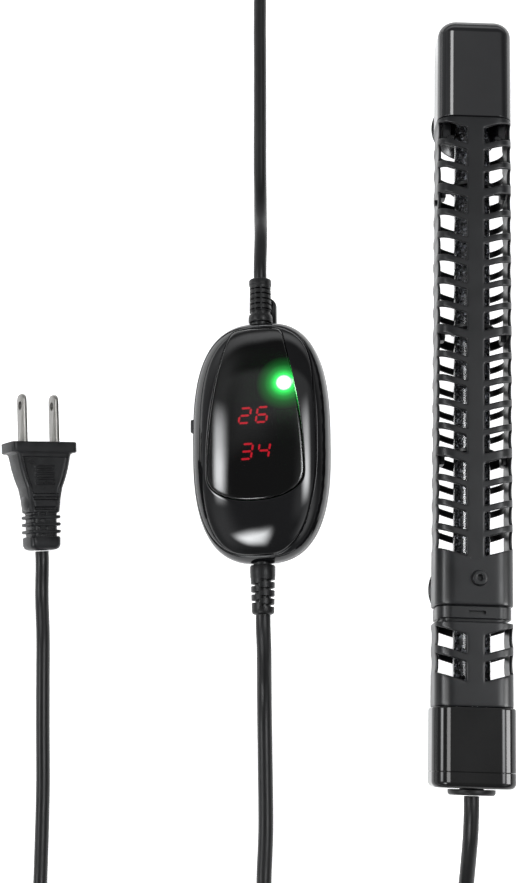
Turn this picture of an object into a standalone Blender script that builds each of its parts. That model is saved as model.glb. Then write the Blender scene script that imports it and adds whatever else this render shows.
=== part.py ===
"""Submersible aquarium heater with an in-line digital controller and a two-pin plug.

Frame: metres, +Z up. The heater lies on its back, its long axis along Y with the
capped tip towards +Y and the cord end towards -Y. The origin is on the surface it
lies on, under the middle of the heater. The controller and the plug lie on the same
surface at the -X side, and the cords join them.
"""
import math

import bmesh
import bpy
from mathutils import Matrix, Vector

MM = 0.001
GAP = 0.3                       # clearance between touching pieces, mm

# ---- heater, mm -------------------------------------------------------------
HALF_LENGTH = 146.2
GUARD_HALF_W = 14.05
GUARD_HALF_D = 10.75
GUARD_CORNER = 5.7
AXIS_Z = 20.35                  # height of the heater's axis above the surface
WALL = 1.2                      # guard wall
BAND_WALL = 2.0                 # guard wall in its plain lower band
CHEVRON = math.tan(math.radians(16.0))
COLUMN_HALF = 3.25              # half width of the plain middle column
ROW_X = 10.5                    # distance from the middle at which rows are measured
SLOT = 6.55
BAR = 2.49
WIDE_BAR = 3.54
ROWS = 18
WIDE_AFTER = (3, 9, 14)         # a wider bar follows these rows
FIRST_ROW_TOP = 102.3
CAP_SEAM = 104.55
GUARD_END = -80.7
NECK_TOP = -77.2
COLLAR_END = -85.4
CAGE_TOP = -86.63
CAGE_END = -116.2
LOWER_ROW_TOP = -89.12
LOWER_BAR = 2.96
BASE_SEAM = -138.2
BASE_END = -143.9
BASE_HALF_W = 14.78
BASE_HALF_D = 11.48
BASE_CORNER = 6.2
TIP_FILLET = 6.7
NECK_INSET = BAND_WALL + GAP    # how far the neck lies inside the guard's outline
SUPPORT_Y = (79.2, 23.0, -24.1)
SUPPORT_RING = 8.6              # outer radius of a support's ring
SUPPORT_ARM = 3.4               # half height of its arms

TUBE_R = 6.7
TUBE_WALL = 1.0
TUBE_TOP = 124.8
TUBE_END = -120.2
SEAL_END = TUBE_END - 4.0
CORE_R = 2.4
COIL_R = 3.05
WIRE_R = 0.3
COIL_TURNS = 11
TURN_STEPS = 8
COIL_TOP = 98.8
COIL_LONG = 200.0

CUP_R = 13.4
CUP_Y = (113.0, -72.05)
STUD_R = 1.8
STUD_HEAD_R = 2.6
BOSS = (1.25, -71.2, 2.7, 1.05, 1.9)    # x, y, outer radius, hole radius, height

# ---- controller, mm, in its own frame: u across, v along, w up from the belt ----
BODY_HALF_U = 25.9
BODY_HALF_V = 45.5
DOME_H = 13.6
BACK_H = 13.2
PEBBLE = 2.75                   # exponent of the plan's superellipse
DOME_P = 2.5
SHELL = 1.8
BODY_AT = (-77.3, -21.0)
BODY_TURN = math.radians(2.28)
BODY_ROLL = math.radians(-14.5)
LENS_RAISE = 0.3
LENS_THICK = 1.6
LENS_TOP_V = 41.2
LENS_WIDE_V = -13.8
LENS_END_V = -23.8
LENS_TOP_U = 9.4
LENS_WIDE_U = 18.3
BUTTON_V = 7.0
BUTTON_W = 2.4
BUTTON_LONG = 5.1
BUTTON_PROUD = 0.75
EAR_R = 3.8                     # hanging ear on the back, behind the mains cord's relief
EAR_U = 1.0
EAR_V = 54.0
EAR_W = -6.3
RELIEF_TOP_V = 63.0
RELIEF_END_V = -63.8

# ---- plug, mm, in its own frame: blades along +v from the face at v = 0 ----
PLUG_AT = (-160.4, -23.2)
PLUG_TURN = math.radians(4.3)
PLUG_ROLL = math.radians(30.5)
PLUG_PITCH = math.radians(6.5)
BLADE_SPACING = 12.7
BLADE = (1.5, 18.2, 6.35)       # thickness, exposed length, width
BLADE_ROOT = 7.0
FACE_HALF = (13.0, 6.2)
FACE_CORNER = 2.0
PLUG_LONG = 40.0

# ---- cords, mm --------------------------------------------------------------
HEATER_CORD_D = 5.5
MAINS_CORD_D = 5.0
COIL_DIAMETERS = 11             # coil size at the middle of its turns, in cord diameters
HEATER_COIL_Y = -224.0
MAINS_COIL_AT = (-181.0, -224.0)

BLACK = ("black_plastic", (0.012, 0.012, 0.013), 0.35, 0.0)
GLOSS = ("gloss_black", (0.008, 0.008, 0.009), 0.08, 0.0)
SATIN = ("satin_black", (0.014, 0.014, 0.015), 0.45, 0.0)
SMOKE = ("smoked_lens", (0.01, 0.01, 0.012), 0.05, 0.0)
QUARTZ = ("quartz", (0.75, 0.77, 0.8), 0.05, 0.0)
SAND = ("quartz_sand", (0.16, 0.16, 0.17), 0.7, 0.0)
CERAMIC = ("ceramic", (0.8, 0.79, 0.76), 0.5, 0.0)
STEEL = ("steel", (0.55, 0.55, 0.56), 0.3, 1.0)
NICKEL = ("nickel", (0.6, 0.58, 0.55), 0.28, 1.0)
SILICONE = ("silicone", (0.02, 0.02, 0.021), 0.5, 0.0)
VINYL = ("cord_vinyl", (0.02, 0.02, 0.021), 0.5, 0.0)
EPOXY = ("epoxy", (0.03, 0.03, 0.032), 0.3, 0.0)
BOARD = ("board_green", (0.02, 0.12, 0.05), 0.4, 0.0)
COMPONENT = ("component", (0.03, 0.03, 0.035), 0.5, 0.0)
RELAY_BLUE = ("relay_blue", (0.02, 0.08, 0.35), 0.4, 0.0)
CLEAR_GREEN = ("led_green", (0.05, 0.8, 0.1), 0.2, 0.0)
COPPER_RED = ("wire_red", (0.4, 0.02, 0.02), 0.4, 0.0)
WHITE_WIRE = ("wire_white", (0.8, 0.8, 0.78), 0.4, 0.0)


def clear_scene():
    for obj in list(bpy.data.objects):
        bpy.data.objects.remove(obj, do_unlink=True)


def material(spec):
    name, colour, roughness, metallic = spec
    found = bpy.data.materials.get(name)
    if found:
        return found
    made = bpy.data.materials.new(name)
    made.use_nodes = True
    shader = made.node_tree.nodes["Principled BSDF"]
    shader.inputs["Base Color"].default_value = (*colour, 1.0)
    shader.inputs["Roughness"].default_value = roughness
    shader.inputs["Metallic"].default_value = metallic
    return made


def link(name, data, spec, parent=None):
    obj = bpy.data.objects.new(name, data)
    bpy.context.scene.collection.objects.link(obj)
    if spec:
        data.materials.append(material(spec))
    obj.parent = parent
    return obj


def mesh_object(name, points, faces, spec, parent=None, angle=35.0):
    """A closed mesh from points in mm."""
    mesh = bpy.data.meshes.new(name)
    mesh.from_pydata([Vector(p) * MM for p in points], [], faces)
    work = bmesh.new()
    work.from_mesh(mesh)
    bmesh.ops.recalc_face_normals(work, faces=work.faces)
    work.to_mesh(mesh)
    work.free()
    mesh.shade_smooth()
    mesh.set_sharp_from_angle(angle=math.radians(angle))
    return link(name, mesh, spec, parent)


def loft(name, rings, spec, parent=None, ring_like=False, angle=35.0):
    """Join rings of equal length. ring_like closes the last ring onto the first."""
    count = len(rings[0])
    points = [p for ring in rings for p in ring]
    faces = []
    spans = len(rings) if ring_like else len(rings) - 1
    for r in range(spans):
        a = r * count
        b = ((r + 1) % len(rings)) * count
        for i in range(count):
            j = (i + 1) % count
            faces.append((a + i, a + j, b + j, b + i))
    if not ring_like:
        faces.append(tuple(reversed(range(count))))
        faces.append(tuple(range((len(rings) - 1) * count, len(rings) * count)))
    return mesh_object(name, points, faces, spec, parent, angle)


def circle(radius, count, at=(0.0, 0.0)):
    step = 2 * math.pi / count
    return [(at[0] + radius * math.cos(i * step), at[1] + radius * math.sin(i * step))
            for i in range(count)]


def rounded_rect(half_w, half_d, radius, per_corner=5):
    """Outline points, anticlockwise, with per_corner points in each corner."""
    radius = max(radius, 0.6)
    outline = []
    for corner in range(4):
        middle = (half_w - radius) * (1, -1, -1, 1)[corner], (half_d - radius) * (1, 1, -1, -1)[corner]
        for i in range(per_corner):
            turn = math.radians(90 * corner + 90 * i / (per_corner - 1))
            outline.append((middle[0] + radius * math.cos(turn), middle[1] + radius * math.sin(turn)))
    return outline


def along_y(outline, y, x0=0.0, z0=AXIS_Z):
    return [(x0 + p, y, z0 + q) for p, q in outline]


def turned(name, profile, spec, place, sides=24, parent=None, ring_like=False, angle=35.0):
    """Turn a profile of (radius, height) about an axis; place maps (a, b, height) to x, y, z."""
    rings = [[place(a, b, height) for a, b in circle(max(radius, 0.02), sides)]
             for radius, height in profile]
    return loft(name, rings, spec, parent, ring_like, angle)


def heater_axis(a, b, height):
    return a, height, AXIS_Z + b


def upright(x, y):
    return lambda a, b, height: (x + a, y + b, height)


def cut(target, cutter, operation="DIFFERENCE"):
    cutter.hide_render = True
    cutter.display_type = "WIRE"
    modifier = target.modifiers.new(operation.lower() + "_" + cutter.name, "BOOLEAN")
    modifier.operation = operation
    modifier.solver = "EXACT"
    modifier.object = cutter


def block(name, centre, size, spec, parent=None):
    half = [s / 2 for s in size]
    rings = [[(centre[0] + sx * half[0], centre[1] + sy * half[1], centre[2] + sz * half[2])
              for sx, sy in ((1, 1), (-1, 1), (-1, -1), (1, -1))] for sz in (-1, 1)]
    return loft(name, rings, spec, parent)


# ---- slotted sleeves --------------------------------------------------------
# Each quarter of the outline has the middle column's edge, the corner's start and
# four points round the corner. Outer and inner points pair up so that a slot's end
# walls are upright, as a straight-pull mould leaves them.
CORNER_TURNS = ((0.0, 0.0), (26.0, 35.0), (52.1, 70.8), (71.0, 80.0), (90.0, 90.0))
OPEN_SPANS = 3


def sleeve_quarter(inset, inner):
    half_w = GUARD_HALF_W - inset
    half_d = GUARD_HALF_D - inset
    radius = max(GUARD_CORNER - inset, 1.2)
    quarter = [(COLUMN_HALF, half_d)]
    for pair in CORNER_TURNS:
        turn = math.radians(pair[1] if inner else pair[0])
        quarter.append((half_w - radius + radius * math.sin(turn), half_d - radius + radius * math.cos(turn)))
    return quarter


def sleeve_outline(inset, inner=False):
    quarter = sleeve_quarter(inset, inner)
    back = list(reversed(quarter))
    return (quarter + [(x, -z) for x, z in back] + [(-x, -z) for x, z in quarter]
            + [(-x, z) for x, z in back])


def open_span(index):
    place = index % 12
    return place < OPEN_SPANS or place >= 11 - OPEN_SPANS and place < 11


def sleeve(name, stations, spec):
    """stations: (y, inset, wall, chevron, open_below) from the top down."""
    count = len(sleeve_outline(0.0))
    points = []
    for y, inset, wall, chevron, _ in stations:
        outer = sleeve_outline(inset)
        inner = sleeve_outline(inset + wall, inner=True)
        for shell in (outer, inner):
            for index, (x, z) in enumerate(shell):
                reach = abs(outer[index][0]) - ROW_X
                points.append((x, y + (CHEVRON * reach if chevron else 0.0), AXIS_Z + z))
    faces = []

    def at(station, side, index):
        return (station * 2 + side) * count + index % count

    def is_open(station, index):
        return stations[station][4] and open_span(index % count)

    last = len(stations) - 1
    for s in range(last):
        for i in range(count):
            if is_open(s, i):
                if not is_open(s, i - 1):
                    faces.append((at(s, 0, i), at(s + 1, 0, i), at(s + 1, 1, i), at(s, 1, i)))
                if not is_open(s, i + 1):
                    faces.append((at(s, 0, i + 1), at(s, 1, i + 1), at(s + 1, 1, i + 1), at(s + 1, 0, i + 1)))
                faces.append((at(s, 0, i), at(s, 1, i), at(s, 1, i + 1), at(s, 0, i + 1)))
                faces.append((at(s + 1, 0, i), at(s + 1, 0, i + 1), at(s + 1, 1, i + 1), at(s + 1, 1, i)))
            else:
                faces.append((at(s, 0, i), at(s, 0, i + 1), at(s + 1, 0, i + 1), at(s + 1, 0, i)))
                faces.append((at(s, 1, i), at(s + 1, 1, i), at(s + 1, 1, i + 1), at(s, 1, i + 1)))
    for i in range(count):
        faces.append((at(0, 0, i), at(0, 1, i), at(0, 1, i + 1), at(0, 0, i + 1)))
        faces.append((at(last, 0, i), at(last, 0, i + 1), at(last, 1, i + 1), at(last, 1, i)))
    return mesh_object(name, points, faces, spec)


def row_tops():
    """The y of each slot row's upper edge, measured ROW_X from the middle."""
    y = FIRST_ROW_TOP
    tops = []
    for row in range(1, ROWS + 1):
        tops.append(y)
        y -= SLOT + (WIDE_BAR if row in WIDE_AFTER else BAR)
    return tops


def guard_stud(name, y):
    """A mushroom stud under the back wall, on which a suction cup snaps."""
    wall = AXIS_Z - GUARD_HALF_D
    profile = ((STUD_R, wall + 0.6), (STUD_R, 6.3), (STUD_HEAD_R, 5.9), (STUD_HEAD_R, 5.2), (1.4, 4.7))
    return turned(name, profile, None, upright(0.0, y), sides=12)


def make_guard():
    stations = [(CAP_SEAM, 0.0, WALL, False, False)]
    for top in row_tops():
        stations.append((top, 0.0, WALL, True, True))
        stations.append((top - SLOT, 0.0, WALL, True, False))
    band_top = stations[-1][0] - 2.2
    stations.append((band_top, 0.0, WALL, False, False))
    stations.append((band_top - 1.5, 0.0, BAND_WALL, False, False))
    stations.append((GUARD_END, 0.0, BAND_WALL, False, False))
    guard = sleeve("guard_cage", stations, SATIN)
    x, y, radius, hole, height = BOSS
    top = AXIS_Z + GUARD_HALF_D
    boss = turned("guard_boss", ((radius, top - 0.8), (radius, top + height)), None, upright(x, y), sides=16)
    drill = turned("guard_drill", ((hole, top - 0.3), (hole, top + height + 1)), None, upright(x, y), sides=12)
    cut(guard, boss, "UNION")
    cut(guard, drill)
    cut(guard, guard_stud("guard_stud", CUP_Y[1]), "UNION")


def make_top_cap():
    inner_w = GUARD_HALF_W - WALL - GAP - WALL
    inner_d = GUARD_HALF_D - WALL - GAP - WALL
    spigot = 2.1
    base = CAP_SEAM + GAP
    rings = [along_y(rounded_rect(inner_w, inner_d, 3.0), y) for y in (HALF_LENGTH - 8.0, base - spigot)]
    rings.append(along_y(rounded_rect(inner_w + WALL, inner_d + WALL, 4.0), base - spigot))
    rings.append(along_y(rounded_rect(inner_w + WALL, inner_d + WALL, 4.0), base))
    rings.append(along_y(rounded_rect(GUARD_HALF_W, GUARD_HALF_D, GUARD_CORNER), base))
    for turn in (0, 25, 50, 72, 90):
        rise = TIP_FILLET * math.sin(math.radians(turn))
        inset = TIP_FILLET * (1 - math.cos(math.radians(turn)))
        outline = rounded_rect(GUARD_HALF_W - inset, GUARD_HALF_D - inset, GUARD_CORNER - inset * 0.6)
        rings.append(along_y(outline, HALF_LENGTH - TIP_FILLET + rise))
    cap = loft("top_cap", rings, GLOSS)
    cut(cap, guard_stud("cap_stud", CUP_Y[0]), "UNION")


def make_lock_collar():
    top = GUARD_END - GAP
    rings = []
    for y, inset in ((top, NECK_INSET - GAP), (top, 0.7), (COLLAR_END, 0.7), (COLLAR_END, NECK_INSET - GAP)):
        outline = rounded_rect(GUARD_HALF_W - inset, GUARD_HALF_D - inset, GUARD_CORNER - inset)
        rings.append(along_y(outline, y))
    collar = loft("lock_collar", rings, SATIN, ring_like=True)
    slot = block("latch_slot", (0.6, (top + COLLAR_END) / 2, AXIS_Z + GUARD_HALF_D), (6.2, 1.05, 3.0), None)
    cut(collar, slot)


def make_lower_cage():
    neck_wall = 1.3
    stations = [(NECK_TOP, NECK_INSET, neck_wall, False, False),
                (COLLAR_END - GAP, NECK_INSET, neck_wall, False, False),
                (CAGE_TOP, NECK_INSET, neck_wall, False, False),
                (CAGE_TOP - 0.01, 0.0, WALL + 0.3, False, False)]
    for row in range(2):
        top = LOWER_ROW_TOP - row * (SLOT + LOWER_BAR)
        stations.append((top, 0.0, WALL, True, True))
        stations.append((top - SLOT, 0.0, WALL, True, False))
    stations.append((CAGE_END + GAP, 0.0, WALL, False, False))
    sleeve("lower_cage", stations, SATIN)


def make_base():
    outline = rounded_rect(BASE_HALF_W, BASE_HALF_D, BASE_CORNER)
    cavity = rounded_rect(BASE_HALF_W - 1.8, BASE_HALF_D - 1.8, BASE_CORNER - 1.8)
    bore = circle(8.4, len(outline))
    deck = CAGE_END - 2.6
    rings = [along_y(cavity, BASE_SEAM), along_y(cavity, deck), along_y(bore, deck), along_y(bore, CAGE_END),
             along_y(outline, CAGE_END), along_y(outline, BASE_SEAM)]
    loft("base_housing", rings, GLOSS, ring_like=True)

    edge = 2.2
    rings = [along_y(outline, BASE_SEAM - GAP), along_y(outline, BASE_END + edge)]
    for turn in (35, 65, 90):
        inset = edge * (1 - math.cos(math.radians(turn)))
        y = BASE_END + edge * (1 - math.sin(math.radians(turn)))
        rings.append(along_y(rounded_rect(BASE_HALF_W - inset, BASE_HALF_D - inset, BASE_CORNER - inset), y))
    plate = loft("base_end_plate", rings, GLOSS)
    bore_cut = turned("plate_bore", ((4.5, BASE_END - 2), (4.5, BASE_SEAM + 2)), None, heater_axis, sides=20)
    cut(plate, bore_cut)

    face = BASE_END - GAP
    gland = ((4.2, BASE_SEAM - GAP), (4.2, face), (8.4, face), (8.4, -HALF_LENGTH + 0.6), (7.8, -HALF_LENGTH))
    turned("cable_gland", gland, BLACK, heater_axis, sides=24)


def support_outline():
    """A ring round the tube with an arm to each side wall, and the ring's hole."""
    reach = GUARD_HALF_W - WALL - 0.35
    tip = math.atan2(SUPPORT_ARM, reach)
    root = math.asin(SUPPORT_ARM / SUPPORT_RING)
    quarter = [0.0, tip, root] + [root + (math.pi / 2 - root) * k / 4 for k in range(1, 4)]
    turns = []
    for side in range(4):
        if side % 2 == 0:
            turns += [math.pi / 2 * side + turn for turn in quarter]
        else:
            turns += [math.pi / 2 * (side + 1) - turn for turn in [math.pi / 2] + quarter[:0:-1]]
    outline = []
    for turn in turns:
        across, high = abs(math.cos(turn)), abs(math.sin(turn))
        arm = min(reach / max(across, 0.001), SUPPORT_ARM / max(high, 0.001))
        radius = max(SUPPORT_RING, arm)
        outline.append((radius * math.cos(turn), radius * math.sin(turn)))
    hole = [((TUBE_R + 0.35) * math.cos(turn), (TUBE_R + 0.35) * math.sin(turn)) for turn in turns]
    return outline, hole


def make_tube_group():
    inner = TUBE_R - TUBE_WALL
    dome = TUBE_TOP - TUBE_R
    profile = [(0.0, dome + inner)]
    for turn in (60, 30, 0):
        profile.append((inner * math.cos(math.radians(turn)), dome + inner * math.sin(math.radians(turn))))
    profile += [(inner, TUBE_END), (TUBE_R, TUBE_END)]
    for turn in (0, 30, 60, 88):
        profile.append((TUBE_R * math.cos(math.radians(turn)), dome + TUBE_R * math.sin(math.radians(turn))))
    turned("quartz_tube", profile, QUARTZ, heater_axis)

    fill_r = inner - GAP
    bore = COIL_R + WIRE_R + GAP
    top = TUBE_TOP - 9.0
    end = TUBE_END + 7.0
    fill = ((fill_r, top), (bore, top), (bore, end), (fill_r, end))
    turned("tube_fill", fill, SAND, heater_axis, sides=20, ring_like=True)
    turned("ceramic_core", ((CORE_R, top - 2.0), (CORE_R, end - 1.0)), CERAMIC, heater_axis, sides=14)

    curve = bpy.data.curves.new("heating_wire", "CURVE")
    curve.dimensions = "3D"
    steps = COIL_TURNS * TURN_STEPS
    spline = curve.splines.new("POLY")
    spline.points.add(steps)
    for i in range(steps + 1):
        turn = 2 * math.pi * i / TURN_STEPS
        y = COIL_TOP - COIL_LONG * i / steps
        spline.points[i].co = (COIL_R * math.cos(turn) * MM, y * MM,
                               (AXIS_Z + COIL_R * math.sin(turn)) * MM, 1.0)
    curve.bevel_depth = WIRE_R * MM
    curve.bevel_resolution = 0
    curve.use_fill_caps = True
    link("heating_wire", curve, STEEL)

    top = TUBE_TOP + 0.4
    cushion = ((0.0, top), (7.0, top), (7.0, top - 14.4), (7.7, top - 14.4), (7.7, top + 2.1),
               (6.5, top + 3.6), (0.0, top + 3.6))
    turned("tip_cushion", cushion, SILICONE, heater_axis, sides=20)

    for number, y in enumerate(SUPPORT_Y, 1):
        outline, hole = support_outline()
        rings = [along_y(hole, y - 0.7), along_y(outline, y - 0.7), along_y(outline, y + 0.7),
                 along_y(hole, y + 0.7)]
        loft(f"tube_support_{number}", rings, SATIN, ring_like=True)

    plug_top = TUBE_END + 5.2
    seal = ((0.0, plug_top), (inner - GAP, plug_top), (inner - GAP, TUBE_END - GAP), (8.0, TUBE_END - GAP),
            (8.0, SEAL_END), (0.0, SEAL_END))
    turned("tube_seal", seal, SILICONE, heater_axis, sides=20)
    ring = [(7.55 + 0.5 * math.cos(math.radians(t)), CAGE_END - 1.3 + 0.5 * math.sin(math.radians(t)))
            for t in range(0, 360, 60)]
    turned("o_ring", ring, SILICONE, heater_axis, sides=20, ring_like=True)


def make_base_internals():
    potting = rounded_rect(12.6, 9.3, 4.0, per_corner=3)
    loft("potting_block", [along_y(potting, BASE_SEAM + 0.4), along_y(potting, SEAL_END - 5.0)], EPOXY)
    for name, x, spec in (("lead_live", 5.0, COPPER_RED), ("lead_neutral", -5.0, WHITE_WIRE)):
        rings = [along_y(circle(0.8, 8), y, x0=x) for y in (SEAL_END - 4.7, SEAL_END - GAP)]
        loft(name, rings, spec)

    def crosswise(a, b, height):
        return height, SEAL_END - 2.5 + a, AXIS_Z + 4.5 + b

    turned("thermal_fuse", ((1.5, -4.5), (1.5, 4.0), (0.9, 5.5)), STEEL, crosswise, sides=12)

    def below(a, b, height):
        return a, SEAL_END + height, AXIS_Z - 4.5 + b

    turned("temp_sensor", ((1.0, -4.4), (1.7, -3.3), (1.7, -1.6), (0.9, -0.5)), BLACK, below, sides=12)


def make_suction_cups():
    neck = 5.0
    neck_top = AXIS_Z - GUARD_HALF_D - GAP
    profile = ((0.0, 2.9), (5.0, 2.5), (9.0, 1.3), (11.9, 0.0), (CUP_R, 0.0), (CUP_R, 0.55), (11.4, 1.9),
               (8.4, 3.7), (5.8, 6.0), (neck, 7.0), (neck, neck_top), (STUD_R + GAP, neck_top),
               (STUD_R + GAP, 6.6), (STUD_HEAD_R + GAP, 6.3), (STUD_HEAD_R + GAP, 4.3), (0.0, 4.3))
    for name, y in zip(("suction_cup_upper", "suction_cup_lower"), CUP_Y):
        turned(name, profile, SILICONE, upright(0.0, y), sides=20)


# ---- controller -------------------------------------------------------------

def pebble_ring(scale, height, inset=0.0, count=28):
    """Superellipse ring at this share of the outline, at this height."""
    ring = []
    for i in range(count):
        turn = 2 * math.pi * (i + 0.5) / count
        c, s = math.cos(turn), math.sin(turn)
        reach = (abs(c) ** PEBBLE + abs(s) ** PEBBLE) ** (-1 / PEBBLE)
        ring.append((scale * reach * c * (BODY_HALF_U - inset), scale * reach * s * (BODY_HALF_V - inset), height))
    return ring


def dome_share(share):
    return max(0.0, 1 - share ** DOME_P) ** (1 / DOME_P)


def dome_height(u, v, height=DOME_H):
    share = ((abs(u) / BODY_HALF_U) ** PEBBLE + (abs(v) / BODY_HALF_V) ** PEBBLE) ** (1 / PEBBLE)
    return height * dome_share(min(share, 1.0))


def shell(name, height, spec, parent):
    """Half of the pebble, open at the belt; a negative height makes the back half."""
    side = math.copysign(1.0, height)
    belt = side * GAP / 2
    outer_shares = (1.0, 0.975, 0.93, 0.85, 0.72, 0.52, 0.26)
    inner_shares = (0.3, 0.62, 0.85, 0.97, 1.0)
    rings = []
    for share in inner_shares:
        rise = (abs(height) - SHELL) * dome_share(share)
        rings.append(pebble_ring(share, belt + side * rise, SHELL))
    for share in outer_shares:
        rings.append(pebble_ring(share, belt + side * (abs(height) - GAP / 2) * dome_share(share)))
    return loft(name, rings, spec, parent)


def lens_outline(grow=0.0):
    """Shield outline: a curved top edge, long sides that widen, and a rounded lower point."""
    right = []
    for t in (0.0, 0.3, 0.6, 0.85, 1.0):
        v = LENS_TOP_V + (LENS_WIDE_V - LENS_TOP_V) * t
        u = LENS_TOP_U + (LENS_WIDE_U - LENS_TOP_U) * math.sin(math.pi / 2 * t) ** 0.9
        right.append((u, v))
    sweep = LENS_WIDE_V - LENS_END_V
    for turn in (25, 50, 72):
        right.append((LENS_WIDE_U * math.cos(math.radians(turn)) ** 0.9,
                      LENS_WIDE_V - sweep * math.sin(math.radians(turn))))
    outline = right + [(0.0, LENS_END_V)] + [(-u, v) for u, v in reversed(right)] + [(0.0, LENS_TOP_V + 0.9)]
    middle_v = (LENS_TOP_V + LENS_END_V) / 2
    shares = 1 + grow / LENS_WIDE_U, 1 + grow / (LENS_TOP_V - middle_v)
    return [(u * shares[0], middle_v + (v - middle_v) * shares[1]) for u, v in outline]


def make_lens(parent):
    outline = lens_outline()
    middle_v = (LENS_TOP_V + LENS_END_V) / 2
    rings = []
    for offset, shares in ((LENS_RAISE - LENS_THICK, (0.35, 0.7, 1.0)), (LENS_RAISE, (1.0, 0.7, 0.35))):
        for share in shares:
            ring = []
            for u, v in outline:
                su = u * share
                sv = middle_v + (v - middle_v) * share
                ring.append((su, sv, dome_height(su, sv) + offset))
            rings.append(ring)
    loft("display_lens", rings, SMOKE, parent)


def relief_profile(start, end, foot, tail, grooves):
    """Radii along a ribbed strain relief, from the case outwards."""
    side = math.copysign(1.0, end - start)
    span = abs(end - start)
    collar = 3.4
    profile = [(foot, start), (foot, start + side * collar)]
    pitch = (span - collar - 2.6) / grooves
    for g in range(grooves):
        radius = foot - 0.3 + (tail - foot) * (g + 0.5) / grooves
        at = collar + g * pitch
        profile.append((radius - 0.75, start + side * (at + 0.15)))
        profile.append((radius - 0.75, start + side * (at + pitch * 0.45)))
        profile.append((radius, start + side * (at + pitch * 0.45 + 0.15)))
        profile.append((radius, start + side * (at + pitch)))
    profile.append((tail, end - side * 0.5))
    profile.append((tail - 0.4, end))
    return profile


def make_reliefs(parent):
    def along(a, b, height):
        return a, height, b

    inside = BODY_HALF_V - 9.7
    for name, side, end, foot, tail, grooves in (
            ("mains_strain_relief", 1, RELIEF_TOP_V, 4.5, 4.0, 5),
            ("heater_strain_relief", -1, RELIEF_END_V, 4.5, 3.9, 5)):
        wall = side * BODY_HALF_V
        profile = [(4.8, side * inside), (4.8, side * (inside + 1.6)), (3.3, side * (inside + 1.6)),
                   (3.3, wall + side * GAP)]
        profile += relief_profile(wall + side * GAP, end, foot, tail, grooves)
        turned(name, profile, BLACK, along, sides=16, parent=parent)


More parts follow.
